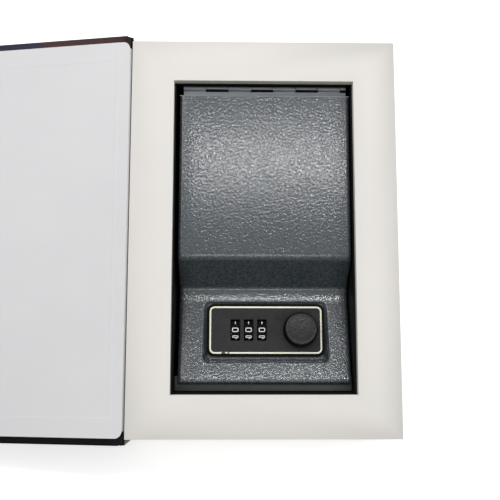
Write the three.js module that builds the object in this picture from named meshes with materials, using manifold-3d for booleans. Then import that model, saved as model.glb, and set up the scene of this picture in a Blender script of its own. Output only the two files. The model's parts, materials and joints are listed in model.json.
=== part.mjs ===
// A hollow book that hides a steel box with a combination lock, standing open on its back cover.
// Millimetres, +Z up, +Y to the head of the book, the spine and the open front cover on the -X side.
// The origin is the centre of the back cover's underside.

import * as THREE from 'three';
import { mergeVertices } from 'three/addons/utils/BufferGeometryUtils.js';
import Module from 'manifold-3d';

const wasm = await Module();
wasm.setup();

// Margins of the pages around the cut-out
const MARGIN_SPINE = 25;
const MARGIN_FORE = 24.8;
const MARGIN_HEAD = 24.3;
const MARGIN_TAIL = 24.6;

// Sheets and boards of the case
const PAPER = 0.3;
const WRAP = 0.4;
const BOARD = 2.4;
const SPINE_BOARD = 2;
const GLUE_GAP = 0.2;
const SQUARE = 3.5;
const TURN_IN = 15;
const TURN_IN_SHOWN = 4;
const JOINT_WIDTH = 7.4;
const GROOVE_DEPTH = 2;
const GROOVE_SLOPE = 1;
const SPINE_DROP = 3.2;
const SPINE_LIP_X = 1.9;
const SPINE_LIP_Z = 1.6;

// Front cover joint
const COVER_AXIS_OUT = 0.6;
const COVER_CLEAR = 0.3;
const COVER_SLOPE = THREE.MathUtils.degToRad(11.2);
const JOINT_END = 0.9;

// Steel box let into the pages
const BOX_FIT = 0.15;
const BOX_WALL = 0.85;
const BOX_SUNK = 4.9;
const BOX_SCREW_INSET = 9;
const BOX_SCREW_HEAD_R = 3.1;
const BOX_SCREW_HEAD_H = 1.4;
const BOX_SCREW_R = 1.3;
const BOX_SCREW_BITE = 1.8;
const HOLE_CLEAR = 0.25;

// Lid: a pressed sheet, given by its runs from the hinge to the nose and its drops below the pages
const LID_WIDTH = 102;
const LID_GAP_SPINE = 2;
const LID_GAP_FORE = 0.6;
const LID_GAP_TAIL = 4.4;
const LID_SHEET = 1.1;
const LID_LEAF = 0.8;
const LID_LEAF_SET = 0.3;
const LID_LEAF_RUN = 4.05;
const LID_PANEL_DEPTH = 6.8;
const LID_PANEL_RUN = 98.6;
const LID_STEP_RUN = 16.1;
const LID_STEP_DROP = 20.2;
const LID_VALLEY_RUN = 10.2;
const LID_RAMP_RUN = 45;
const LID_RAMP_RISE = 14;
const LID_NOSE_RUN = 2;
const LID_NOSE_DROP = 1.1;
const LID_SKIRT = 3.4;

// Strike rail across the tail end of the box
const RAIL_SHEET = 1;
const RAIL_LID_GAP = 0.4;
const RAIL_SHELF = 8.1;
const RAIL_BOLT_GAP = 0.75;
const RAIL_SIDE_GAP = 0.3;
const RAIL_BACK_DROP = 9;
const RAIL_SKIRT_GAP = 0.6;

// Piano hinge at the head of the lid
const HINGE_KNUCKLE_R = 1.5;
const HINGE_PIN_R = 0.7;
const HINGE_PIN_CLEAR = 0.15;
const HINGE_WALL_GAP = 0.25;
const HINGE_INSET_SPINE = 2.2;
const HINGE_INSET_FORE = 1.8;
const KNUCKLE_LENGTH = 13.5;
const KNUCKLE_GAP = 0.3;
const HINGE_LEAF = 0.8;
const HINGE_LEAF_DROP = 13;

// Lock face, in its own frame: origin on the middle of the plate's face, tilted with the dish floor
const LOCK_OFFSET_X = 1.1;
const LOCK_UP_RAMP = 15.3;
const LOCK_OVER_VALLEY = 2.8;
const LOCK_TILT = THREE.MathUtils.degToRad(-4);
const PLATE_WIDTH = 67.9;
const PLATE_LENGTH = 28.7;
const PLATE_THICK = 1.9;
const PLATE_CORNER = 3.2;
const PLATE_RIM = 1.3;
const PLATE_RIM_H = 0.35;
const WINDOW_CLEAR = 0.3;
const WINDOW_CORNER = 0.6;

// Dish pressed into the lid: how far its floor runs past the plate, and how far its walls lean for their height
const DISH_LEFT_SIDE = 1.9;
const DISH_RIGHT_SIDE = 0.5;
const DISH_HEAD_SIDE = 3.6;
const DISH_TAIL_SIDE = 3.5;
const DISH_LEAN = 0.16;
const DISH_FLOOR_GAP = 0.2;

// Number wheels and what turns with them
const WHEEL_COUNT = 3;
const WHEEL_INSET = 15.65;
const WHEEL_R = 7.6;
const WHEEL_WIDTH = 5.2;
const WHEEL_GAP = 0.55;
const WHEEL_PROUD = 1.2;
const WHEEL_DIGITS = 10;
const WHEEL_NOTCH = 0.45;
const WHEEL_NOTCH_HALF = THREE.MathUtils.degToRad(3);
const WHEEL_ARC_STEPS = 4;
const AXLE_R = 1.4;
const AXLE_CLEAR = 0.2;
const SLEEVE_WIDTH = 2;
const SLEEVE_GAP = 0.25;
const SLEEVE_PLATE_GAP = 0.4;
const SLEEVE_FLAT = 0.9;

// Lock case under the dish
const CASE_SHEET = 1;
const CASE_SIDE_GAP = 2.4;
const CASE_SLEEVE_GAP = 1.2;
const CASE_SPRING_SPACE = 2.6;
const CASE_WHEEL_GAP = 0.5;
const CASE_FENCE_GAP = 0.6;
const CASE_FLANGE_EDGE = 1.5;
const CASE_FLANGE_SIDE = 2;
const UNDER_LOCK = 5.15;

// Screws that hold the lock
const LOCK_SCREW_INSET_X = 3.55;
const LOCK_SCREW_INSET_Y = 3.95;
const LOCK_SCREW_R = 1.1;
const LOCK_SCREW_BITE = 1.1;
const LOCK_SCREW_HEAD_R = 2.1;
const LOCK_SCREW_HEAD_H = 1.2;

// Detent spring
const SPRING_SHEET = 0.4;
const SPRING_FINGER = 3;
const SPRING_NOSE_GAP = 0.35;
const SPRING_BAND = 3;
const SPRING_DROP = 5;

// Knob, its bush and the crank it turns
const KNOB_INSET = 1.85;
const KNOB_R = 10;
const KNOB_H = 8.3;
const KNOB_LIFT = 0.3;
const KNOB_DOME = 1.3;
const KNOB_FOOT = 0.7;
const KNOB_SOCKET = 4.5;
const SPINDLE_R = 3;
const SPINDLE_CLEAR = 0.3;
const BUSH_WALL = 1.3;
const NUT_R = 6.2;
const NUT_THICK = 1.6;
const CRANK_R = 6.4;
const CRANK_THICK = 1.5;
const CRANK_THROW = 3.6;
const CRANK_PIN_R = 1;
const CRANK_START = THREE.MathUtils.degToRad(135);
const STACK_GAP = 0.3;

// Bolt and code fence
const BOLT_WIDTH = 12;
const BOLT_THICK = 1.5;
const BOLT_BACK = 3.6;
const BOLT_TIP_GAP = 2.5;
const BOLT_SLOT_CLEAR = 0.35;
const GUIDE_SHEET = 0.9;
const GUIDE_LENGTH = 4.5;
const GUIDE_FENCE_GAP = 0.5;
const GUIDE_CLEAR = 0.4;
const GUIDE_FOOT = 3;
const FENCE_THICK = 1.2;
const FENCE_BAR = 2.2;
const FENCE_WHEEL_GAP = 1;
const FENCE_CLEAR = 0.35;
const FENCE_TOOTH = 1.4;
const FENCE_LAP = 3;

// Code reset slide under the case
const RESET_INSET = 4.7;
const RESET_Y = 5;
const RESET_WIDTH = 5;
const RESET_LENGTH = 4;
const RESET_THICK = 1;
const RESET_STUB = 1.8;
const RESET_TRAVEL = 3;
const RESET_CLEAR = 0.3;

const ROUND_STEPS = 40;
const SMALL_ROUND_STEPS = 20;
const CORNER_STEPS = 4;

// How far a cutting tool runs past what it cuts
const PAST = 1;

// Lock stack, in the lock's frame
const WHEEL_PITCH = WHEEL_WIDTH + SLEEVE_GAP + SLEEVE_WIDTH + WHEEL_GAP;
const WHEEL_FIRST_X = WHEEL_INSET - PLATE_WIDTH / 2;
const WHEEL_LAST_X = WHEEL_FIRST_X + (WHEEL_COUNT - 1) * WHEEL_PITCH;
const WHEEL_Z = WHEEL_PROUD - WHEEL_R;
const WINDOW_WIDTH = WHEEL_WIDTH + 2 * WINDOW_CLEAR;
const WINDOW_LENGTH = 2 * Math.sqrt(WHEEL_R ** 2 - (WHEEL_Z + PLATE_THICK) ** 2) + 2 * WINDOW_CLEAR;
const SLEEVE_R = -WHEEL_Z - PLATE_THICK - SLEEVE_PLATE_GAP;
const KNOB_X = PLATE_WIDTH / 2 - PLATE_RIM - KNOB_INSET - KNOB_R;
const BUSH_R = SPINDLE_R + SPINDLE_CLEAR + BUSH_WALL;
const PLATE_FLOOR = -PLATE_THICK - DISH_FLOOR_GAP;
const UNDER_LID = PLATE_FLOOR - LID_SHEET;
const LOCK_SCREW_X = PLATE_WIDTH / 2 - LOCK_SCREW_INSET_X;
const LOCK_SCREW_Y = PLATE_LENGTH / 2 - LOCK_SCREW_INSET_Y;
const NUT_TOP = UNDER_LID - GLUE_GAP;
const CRANK_TOP = NUT_TOP - NUT_THICK - STACK_GAP;
const BOLT_TOP = CRANK_TOP - CRANK_THICK - STACK_GAP;
const BOLT_LOW = BOLT_TOP - BOLT_THICK;
const BOLT_TRAVEL = 2 * CRANK_THROW * Math.sin(CRANK_START);
const FENCE_TOP = BOLT_LOW - GLUE_GAP;
const FENCE_BACK_Y = -WHEEL_R - FENCE_WHEEL_GAP;
const FENCE_FRONT_Y = FENCE_BACK_Y - FENCE_BAR;
const FENCE_TOOTH_Y = -Math.sqrt((SLEEVE_R + FENCE_CLEAR) ** 2 - (WHEEL_Z - FENCE_TOP) ** 2);
const GUIDE_Y = FENCE_BACK_Y + GUIDE_FENCE_GAP + GUIDE_LENGTH / 2;
const CASE_IN_LEFT = WHEEL_FIRST_X - WHEEL_WIDTH / 2 - CASE_SIDE_GAP;
const CASE_IN_RIGHT = WHEEL_LAST_X + WHEEL_WIDTH / 2 + SLEEVE_GAP + SLEEVE_WIDTH + CASE_SLEEVE_GAP;
const CASE_BACK_Y = WHEEL_R + CASE_SPRING_SPACE;
const CASE_FRONT_Y = FENCE_FRONT_Y - BOLT_TRAVEL;
const CASE_SIDE_FRONT_Y = FENCE_BACK_Y + CASE_FENCE_GAP;
const CASE_TOP = UNDER_LID - GLUE_GAP;
const CASE_IN_LOW = WHEEL_Z - WHEEL_R - CASE_WHEEL_GAP;
const CASE_LOW = CASE_IN_LOW - CASE_SHEET;
const RESET_X = CASE_IN_LEFT - CASE_SHEET / 2 + RESET_INSET - RESET_WIDTH / 2;

// Heights and depths of the book and the box
const LIP_TOP = WRAP + GLUE_GAP + BOARD + GLUE_GAP + WRAP;
const ENDPAPER_LOW = LIP_TOP + GLUE_GAP;
const BLOCK_LOW = ENDPAPER_LOW + PAPER + GLUE_GAP;
const BOX_FLOOR = BLOCK_LOW + BOX_WALL;
const LID_VALLEY_DEPTH = LID_PANEL_DEPTH + LID_STEP_DROP;
const LOCK_DEPTH = LID_VALLEY_DEPTH - LOCK_OVER_VALLEY;
const LOCK_Z = BOX_FLOOR + UNDER_LOCK + RESET_THICK + RESET_CLEAR - CASE_LOW;
const PAGE_TOP = LOCK_Z + LOCK_DEPTH;
const LEAF_DEPTH = LID_PANEL_DEPTH + LID_LEAF_SET;
const HINGE_Z = PAGE_TOP - LEAF_DEPTH - LID_LEAF / 2;
const LID_RAMP_TOP = LID_VALLEY_DEPTH - LID_RAMP_RISE;
const LID_NOSE_DEPTH = LID_RAMP_TOP + LID_NOSE_DROP;
const RAIL_TOP = PAGE_TOP - LID_NOSE_DEPTH - LID_SHEET - RAIL_LID_GAP;

// Plan of the lid, the cut-out around it and the pages around that
const BOX_SIDE = BOX_FIT + BOX_WALL;
const HINGE_SETBACK = HINGE_WALL_GAP + HINGE_KNUCKLE_R;
const LID_REACH = LID_LEAF_RUN + LID_PANEL_RUN + LID_STEP_RUN + LID_VALLEY_RUN + LID_RAMP_RUN + LID_NOSE_RUN;
const CUT_WIDTH = 2 * BOX_SIDE + LID_GAP_SPINE + LID_WIDTH + LID_GAP_FORE;
const CUT_LENGTH = 2 * BOX_SIDE + HINGE_SETBACK + LID_REACH + LID_GAP_TAIL;
const PAGE_WIDTH = MARGIN_SPINE + CUT_WIDTH + MARGIN_FORE;
const PAGE_LENGTH = MARGIN_HEAD + CUT_LENGTH + MARGIN_TAIL;
const SPINE_OUT = GLUE_GAP + PAPER + GLUE_GAP + SPINE_BOARD + GLUE_GAP + WRAP;
const BACK_WIDTH = SPINE_OUT + PAGE_WIDTH + SQUARE;
const CASE_LEFT = -BACK_WIDTH / 2;
const CASE_RIGHT = BACK_WIDTH / 2;
const PAGE_LEFT = CASE_LEFT + SPINE_OUT;
const PAGE_RIGHT = PAGE_LEFT + PAGE_WIDTH;
const PAGE_HEAD = PAGE_LENGTH / 2;
const PAGE_TAIL = -PAGE_LENGTH / 2;
const CASE_HEAD = PAGE_HEAD + SQUARE;
const BOARD_EDGE = WRAP + GLUE_GAP;
const COVER_WIDTH = COVER_AXIS_OUT + PAGE_WIDTH + SQUARE;
const CUT_LEFT = PAGE_LEFT + MARGIN_SPINE;
const CUT_RIGHT = PAGE_RIGHT - MARGIN_FORE;
const CUT_HEAD = PAGE_HEAD - MARGIN_HEAD;
const CUT_TAIL = PAGE_TAIL + MARGIN_TAIL;
const BOX_LEFT = CUT_LEFT + BOX_SIDE;
const BOX_RIGHT = CUT_RIGHT - BOX_SIDE;
const BOX_HEAD = CUT_HEAD - BOX_SIDE;
const BOX_TAIL = CUT_TAIL + BOX_SIDE;
const LID_LEFT = BOX_LEFT + LID_GAP_SPINE;
const LID_RIGHT = LID_LEFT + LID_WIDTH;
const HINGE_Y = BOX_HEAD - HINGE_SETBACK;
const HINGE_LEFT = LID_LEFT + HINGE_INSET_SPINE;
const HINGE_LENGTH = LID_WIDTH - HINGE_INSET_SPINE - HINGE_INSET_FORE;
const HINGE_BORE_R = HINGE_PIN_R + HINGE_PIN_CLEAR;
const PANEL_Y = HINGE_Y - LID_LEAF_RUN;
const STEP_Y = PANEL_Y - LID_PANEL_RUN;
const VALLEY_Y = STEP_Y - LID_STEP_RUN;
const RAMP_Y = VALLEY_Y - LID_VALLEY_RUN;
const RAMP_TOP_Y = RAMP_Y - LID_RAMP_RUN;
const NOSE_Y = RAMP_TOP_Y - LID_NOSE_RUN;
const LOCK_X = (LID_LEFT + LID_RIGHT) / 2 + LOCK_OFFSET_X;
const LOCK_Y = RAMP_Y - LOCK_UP_RAMP;
const RAIL_FACE = BOX_TAIL + RAIL_SHELF + RAIL_SHEET;
const BOLT_TIP_Y = RAIL_FACE + BOLT_TIP_GAP - LOCK_Y;

const material = (color, roughness, metalness = 0) =>
  new THREE.MeshStandardMaterial({ color, roughness, metalness });

const PAPER_WHITE = 0xebe8e2;
const PASTEDOWN_WHITE = 0xdcdcdd;
const WRAP_DARK = 0x2b2a33;
const BOARD_GREY = 0x8c857a;
const BOX_GREY = 0x4a4c4f;
const LID_GREY = 0x696e72;
const STEEL = 0xa7abae;
const PLATE_BLACK = 0x3b3c3c;
const KNOB_BLACK = 0x3d3e40;
const WHEEL_BLACK = 0x18191a;
const BRASS = 0xb08d4a;

// Geometry helpers
function box(x0, x1, y0, y1, z0, z1) {
  const shape = new THREE.BoxGeometry(x1 - x0, y1 - y0, z1 - z0);
  return shape.translate((x0 + x1) / 2, (y0 + y1) / 2, (z0 + z1) / 2);
}

function outline(points) {
  return new THREE.Shape(points.map(([a, b]) => new THREE.Vector2(a, b)));
}

function prismAlongZ(shape, z0, z1) {
  const options = { depth: z1 - z0, bevelEnabled: false, curveSegments: CORNER_STEPS };
  return new THREE.ExtrudeGeometry(shape, options).translate(0, 0, z0);
}

// The outline's two coordinates become Y and Z, and the length runs along X.
function prismAlongX(shape, x0, x1) {
  const turn = new THREE.Matrix4().set(0, 0, 1, 0, 1, 0, 0, 0, 0, 1, 0, 0, 0, 0, 0, 1);
  return prismAlongZ(shape, x0, x1).applyMatrix4(turn);
}

// The outline's two coordinates become X and Z, and the length runs along Y.
function prismAlongY(shape, y0, y1) {
  const turn = new THREE.Matrix4().set(1, 0, 0, 0, 0, 0, -1, 0, 0, 1, 0, 0, 0, 0, 0, 1);
  return prismAlongZ(shape, -y1, -y0).applyMatrix4(turn);
}

function rod(radius, x, y, z0, z1, steps = SMALL_ROUND_STEPS) {
  const shape = new THREE.CylinderGeometry(radius, radius, z1 - z0, steps);
  return shape.rotateX(Math.PI / 2).translate(x, y, (z0 + z1) / 2);
}

function rodAlongX(radius, x0, x1, y, z, steps = SMALL_ROUND_STEPS) {
  const shape = new THREE.CylinderGeometry(radius, radius, x1 - x0, steps);
  return shape.rotateZ(-Math.PI / 2).translate((x0 + x1) / 2, y, z);
}

function lathe(points, steps = ROUND_STEPS) {
  const profile = points.map(([r, z]) => new THREE.Vector2(r, z));
  return new THREE.LatheGeometry(profile, steps).rotateX(Math.PI / 2);
}

function roundedRect(width, length, corner, x = 0, y = 0) {
  const shape = new THREE.Shape();
  const [a, b] = [width / 2 - corner, length / 2 - corner];
  shape.absarc(x + a, y + b, corner, 0, Math.PI / 2);
  shape.absarc(x - a, y + b, corner, Math.PI / 2, Math.PI);
  shape.absarc(x - a, y - b, corner, Math.PI, 1.5 * Math.PI);
  shape.absarc(x + a, y - b, corner, 1.5 * Math.PI, 2 * Math.PI);
  shape.closePath();
  return shape;
}

// A bent sheet seen from its end: the path is one face, and the other lies to the given side of it.
function sheetOutline(path, thickness, side) {
  const points = path.map(([a, b]) => new THREE.Vector2(a, b));
  const normals = points.slice(1).map((p, i) => {
    const d = p.clone().sub(points[i]).normalize();
    return new THREE.Vector2(-d.y * side, d.x * side);
  });
  const other = points.map((p, i) => {
    const before = normals[Math.max(i - 1, 0)];
    const after = normals[Math.min(i, normals.length - 1)];
    const middle = before.clone().add(after).normalize();
    return p.clone().addScaledVector(middle, thickness / middle.dot(after));
  });
  return new THREE.Shape([...points, ...other.reverse()]);
}

function solid(geometry) {
  const bare = geometry.clone();
  bare.deleteAttribute('normal');
  bare.deleteAttribute('uv');
  const merged = mergeVertices(bare);
  const mesh = new wasm.Mesh({
    numProp: 3,
    vertProperties: new Float32Array(merged.attributes.position.array),
    triVerts: new Uint32Array(merged.index.array),
  });
  return new wasm.Manifold(mesh);
}

function join(...parts) {
  return parts.map((p) => (p.isBufferGeometry ? solid(p) : p)).reduce((a, b) => a.add(b));
}

function cut(body, ...tools) {
  const start = body.isBufferGeometry ? solid(body) : body;
  return tools.map((t) => (t.isBufferGeometry ? solid(t) : t)).reduce((a, b) => a.subtract(b), start);
}

function geometryOf(manifold) {
  const mesh = manifold.getMesh();
  const geometry = new THREE.BufferGeometry();
  geometry.setAttribute('position', new THREE.BufferAttribute(new Float32Array(mesh.vertProperties), 3));
  geometry.setIndex(new THREE.BufferAttribute(new Uint32Array(mesh.triVerts), 1));
  geometry.computeVertexNormals();
  return geometry;
}

function piece(parent, name, shape, look) {
  const geometry = shape.isBufferGeometry ? shape : geometryOf(shape);
  const mesh = new THREE.Mesh(geometry, look);
  mesh.name = name;
  parent.add(mesh);
  return mesh;
}

const book = new THREE.Group();
const cover = new THREE.Group();
const lid = new THREE.Group();
const lock = new THREE.Group();
book.add(cover, lid);
lid.add(lock);
cover.position.set(PAGE_LEFT - COVER_AXIS_OUT, 0, PAGE_TOP + COVER_CLEAR);
cover.rotation.y = -COVER_SLOPE;
lock.position.set(LOCK_X, LOCK_Y, LOCK_Z);
lock.rotation.x = LOCK_TILT;

// Screws that hold the box to the back board
const boxScrewPlaces = [
  [BOX_LEFT + BOX_SCREW_INSET, BOX_TAIL + BOX_SCREW_INSET],
  [BOX_RIGHT - BOX_SCREW_INSET, BOX_TAIL + BOX_SCREW_INSET],
  [BOX_LEFT + BOX_SCREW_INSET, BOX_HEAD - BOX_SCREW_INSET],
  [BOX_RIGHT - BOX_SCREW_INSET, BOX_HEAD - BOX_SCREW_INSET],
];
const BACK_BOARD_TOP = BOARD_EDGE + BOARD;

function boxScrewHoles(z0, z1) {
  return boxScrewPlaces.map(([x, y]) => rod(BOX_SCREW_R + HOLE_CLEAR, x, y, z0, z1));
}

// Back board, spine board and the lining between the spine and the pages
function addBoards() {
  const back = box(
    PAGE_LEFT + JOINT_WIDTH + BOARD_EDGE, CASE_RIGHT - BOARD_EDGE,
    -CASE_HEAD + BOARD_EDGE, CASE_HEAD - BOARD_EDGE, BOARD_EDGE, BACK_BOARD_TOP,
  );
  const board = material(BOARD_GREY, 0.95);
  piece(book, 'back_board', cut(back, ...boxScrewHoles(0, BACK_BOARD_TOP + BOARD)), board);
  const spineLeft = CASE_LEFT + WRAP + GLUE_GAP;
  const spine = box(
    spineLeft, spineLeft + SPINE_BOARD, -CASE_HEAD + BOARD_EDGE, CASE_HEAD - BOARD_EDGE,
    BOARD_EDGE, PAGE_TOP - SPINE_DROP - GLUE_GAP,
  );
  piece(book, 'spine_board', spine, material(BOARD_GREY, 0.95));
  const lining = box(
    PAGE_LEFT - GLUE_GAP - PAPER, PAGE_LEFT - GLUE_GAP,
    -CASE_HEAD + TURN_IN + GLUE_GAP, CASE_HEAD - TURN_IN - GLUE_GAP, BLOCK_LOW, PAGE_TOP - SPINE_DROP,
  );
  piece(book, 'spine_lining', lining, material(PAPER_WHITE, 0.95));
}

// Wrap over the back board and the spine: one bent sheet, closed at head and tail by its turn-ins
function addCaseWrap() {
  const grooveRight = PAGE_LEFT + JOINT_WIDTH;
  const grooveLeft = PAGE_LEFT - GLUE_GAP;
  const path = [
    [CASE_RIGHT - TURN_IN, LIP_TOP],
    [CASE_RIGHT, LIP_TOP],
    [CASE_RIGHT, 0],
    [grooveRight, 0],
    [grooveRight - GROOVE_SLOPE, GROOVE_DEPTH],
    [grooveLeft + GROOVE_SLOPE, GROOVE_DEPTH],
    [grooveLeft, 0],
    [CASE_LEFT, 0],
    [CASE_LEFT, PAGE_TOP - SPINE_DROP],
    [PAGE_LEFT - SPINE_LIP_X, PAGE_TOP - SPINE_LIP_Z],
  ];
  const parts = [prismAlongY(sheetOutline(path, WRAP, -1), -CASE_HEAD, CASE_HEAD)];
  const lipLow = LIP_TOP - WRAP;
  const spineTop = PAGE_TOP - SPINE_DROP;
  for (const end of [-1, 1]) {
    const [wall0, wall1] = [end * CASE_HEAD, end * (CASE_HEAD - WRAP)].sort((a, b) => a - b);
    const [lip0, lip1] = [end * CASE_HEAD, end * (CASE_HEAD - TURN_IN)].sort((a, b) => a - b);
    parts.push(box(grooveRight, CASE_RIGHT, wall0, wall1, 0, LIP_TOP));
    parts.push(box(grooveRight, CASE_RIGHT, lip0, lip1, lipLow, LIP_TOP));
    parts.push(box(CASE_LEFT, PAGE_LEFT - GLUE_GAP, wall0, wall1, 0, spineTop));
    parts.push(box(PAGE_LEFT - GLUE_GAP - WRAP / 2, PAGE_LEFT - GLUE_GAP, lip0, lip1, WRAP, spineTop));
  }
  piece(book, 'case_wrap', join(...parts), material(WRAP_DARK, 0.8));
}

// Endpaper of the back: a sheet over the turn-ins, with a thicker middle that fills the space between them
function addBackPastedown() {
  const sheet = box(
    PAGE_LEFT + JOINT_WIDTH, CASE_RIGHT - TURN_IN_SHOWN,
    -CASE_HEAD + TURN_IN_SHOWN, CASE_HEAD - TURN_IN_SHOWN, ENDPAPER_LOW, ENDPAPER_LOW + PAPER,
  );
  const middle = box(
    PAGE_LEFT + JOINT_WIDTH + BOARD_EDGE, CASE_RIGHT - TURN_IN - GLUE_GAP,
    -CASE_HEAD + TURN_IN + GLUE_GAP, CASE_HEAD - TURN_IN - GLUE_GAP,
    BACK_BOARD_TOP + GLUE_GAP, ENDPAPER_LOW + PAPER,
  );
  const holes = boxScrewHoles(0, BLOCK_LOW);
  piece(book, 'back_pastedown', cut(join(sheet, middle), ...holes), material(PASTEDOWN_WHITE, 0.9));
}

// Glued pages with the cut-out, and the sheet pasted on top of them
function addPages() {
  const top = PAGE_TOP - PAPER - GLUE_GAP;
  const hole = box(CUT_LEFT, CUT_RIGHT, CUT_TAIL, CUT_HEAD, 0, PAGE_TOP + PAPER);
  const block = box(PAGE_LEFT, PAGE_RIGHT, PAGE_TAIL, PAGE_HEAD, BLOCK_LOW, top);
  const leaf = box(PAGE_LEFT, PAGE_RIGHT, PAGE_TAIL, PAGE_HEAD, top + GLUE_GAP, PAGE_TOP);
  piece(book, 'page_block', cut(block, hole), material(PAPER_WHITE, 0.92));
  piece(book, 'front_flyleaf', cut(leaf, hole), material(PAPER_WHITE, 0.9));
}

// Front cover, in the frame of its joint: the open inner face is the plane z = 0 and the board runs to -X
function addFrontCover() {
  const lipTop = -PAPER - GLUE_GAP;
  const lipLow = lipTop - WRAP;
  const boardTop = lipLow - GLUE_GAP;
  const boardLow = boardTop - BOARD;
  const outer = boardLow - GLUE_GAP - WRAP;
  const groove = -COVER_AXIS_OUT - JOINT_WIDTH;
  const board = box(
    -COVER_WIDTH + BOARD_EDGE, groove - BOARD_EDGE,
    -CASE_HEAD + BOARD_EDGE, CASE_HEAD - BOARD_EDGE, boardLow, boardTop,
  );
  piece(cover, 'front_board', board, material(BOARD_GREY, 0.95));

  const path = [
    [-COVER_WIDTH + TURN_IN, lipTop],
    [-COVER_WIDTH, lipTop],
    [-COVER_WIDTH, outer],
    [groove, outer],
    [groove + GROOVE_SLOPE, lipLow],
    [-JOINT_END, lipLow],
  ];
  const parts = [prismAlongY(sheetOutline(path, WRAP, 1), -CASE_HEAD, CASE_HEAD)];
  for (const end of [-1, 1]) {
    const [wall0, wall1] = [end * CASE_HEAD, end * (CASE_HEAD - WRAP)].sort((a, b) => a - b);
    const [lip0, lip1] = [end * CASE_HEAD, end * (CASE_HEAD - TURN_IN)].sort((a, b) => a - b);
    parts.push(box(-COVER_WIDTH, groove, wall0, wall1, outer, lipTop));
    parts.push(box(-COVER_WIDTH, groove + GROOVE_SLOPE, lip0, lip1, lipLow, lipTop));
  }
  piece(cover, 'front_wrap', join(...parts), material(WRAP_DARK, 0.8));

  const sheet = box(
    -COVER_WIDTH + TURN_IN_SHOWN, -JOINT_END,
    -CASE_HEAD + TURN_IN_SHOWN, CASE_HEAD - TURN_IN_SHOWN, -PAPER, 0,
  );
  const middle = box(
    -COVER_WIDTH + TURN_IN + GLUE_GAP, groove - BOARD_EDGE,
    -CASE_HEAD + TURN_IN + GLUE_GAP, CASE_HEAD - TURN_IN - GLUE_GAP, boardTop + GLUE_GAP, 0,
  );
  piece(cover, 'front_pastedown', join(sheet, middle), material(PASTEDOWN_WHITE, 0.9));
}

// Steel tray in the cut-out, and its four screws
function addBox() {
  const [left, right] = [BOX_LEFT - BOX_WALL, BOX_RIGHT + BOX_WALL];
  const [tail, head] = [BOX_TAIL - BOX_WALL, BOX_HEAD + BOX_WALL];
  const outside = box(left, right, tail, head, BLOCK_LOW, PAGE_TOP - BOX_SUNK);
  const inside = box(BOX_LEFT, BOX_RIGHT, BOX_TAIL, BOX_HEAD, BOX_FLOOR, PAGE_TOP);
  const tray = cut(outside, inside, ...boxScrewHoles(0, PAGE_TOP));
  piece(book, 'box_tray', tray, material(BOX_GREY, 0.55, 0.4));

  const headLow = BOX_FLOOR + GLUE_GAP;
  boxScrewPlaces.forEach(([x, y], i) => {
    const screw = join(
      rod(BOX_SCREW_HEAD_R, x, y, headLow, headLow + BOX_SCREW_HEAD_H),
      rod(BOX_SCREW_R, x, y, BACK_BOARD_TOP - BOX_SCREW_BITE, headLow + BOX_SCREW_HEAD_H),
    );
    piece(book, `box_screw_${i + 1}`, screw, material(STEEL, 0.35, 0.9));
  });
}

// Where the bolt's tip gets to, seen from the box: the rail has to stand above it
const boltTipTop = new THREE.Vector3(0, BOLT_TIP_Y - BOLT_TRAVEL, BOLT_TOP)
  .applyAxisAngle(new THREE.Vector3(1, 0, 0), LOCK_TILT);

// Rail across the tail end: a shelf that the lid's nose lies over, and a flange that the bolt hooks under
function addStrikeRail() {
  const path = [
    [BOX_TAIL + RAIL_SIDE_GAP, RAIL_TOP - RAIL_BACK_DROP],
    [BOX_TAIL + RAIL_SIDE_GAP, RAIL_TOP],
    [RAIL_FACE, RAIL_TOP],
    [RAIL_FACE, LOCK_Z + boltTipTop.z + RAIL_BOLT_GAP],
  ];
  const sheet = prismAlongX(
    sheetOutline(path, RAIL_SHEET, -1), BOX_LEFT + RAIL_SIDE_GAP, BOX_RIGHT - RAIL_SIDE_GAP,
  );
  piece(book, 'strike_rail', sheet, material(BOX_GREY, 0.5, 0.4));
}

// Knuckles of the piano hinge: even ones belong to the lid, odd ones to the box
function knuckleSpans(first) {
  const spans = [];
  for (let i = first; i * KNUCKLE_LENGTH < HINGE_LENGTH; i += 2) {
    const start = HINGE_LEFT + i * KNUCKLE_LENGTH;
    const end = Math.min(start + KNUCKLE_LENGTH, HINGE_LEFT + HINGE_LENGTH);
    spans.push([start + KNUCKLE_GAP / 2, end - KNUCKLE_GAP / 2]);
  }
  return spans;
}

function barrel([x0, x1], radius) {
  return rodAlongX(radius, x0, x1, HINGE_Y, HINGE_Z);
}

function hingeBore() {
  return barrel([HINGE_LEFT - KNUCKLE_LENGTH, HINGE_LEFT + HINGE_LENGTH + KNUCKLE_LENGTH], HINGE_BORE_R);
}

function addHinge() {
  const leafBack = BOX_HEAD - HINGE_WALL_GAP / 2;
  const leafTop = HINGE_Z - HINGE_KNUCKLE_R - KNUCKLE_GAP;
  const leaf = box(
    HINGE_LEFT, HINGE_LEFT + HINGE_LENGTH, leafBack - HINGE_LEAF, leafBack,
    leafTop - HINGE_LEAF_DROP, leafTop,
  );
  const tabs = knuckleSpans(1).flatMap((span) => [
    barrel(span, HINGE_KNUCKLE_R),
    box(span[0], span[1], leafBack - HINGE_LEAF, leafBack, leafTop - HINGE_LEAF, HINGE_Z),
  ]);
  piece(book, 'box_hinge_leaf', cut(join(leaf, ...tabs), hingeBore()), material(BOX_GREY, 0.45, 0.6));
  const pin = barrel([HINGE_LEFT, HINGE_LEFT + HINGE_LENGTH], HINGE_PIN_R);
  piece(book, 'hinge_pin', pin, material(STEEL, 0.3, 0.9));
}

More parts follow.
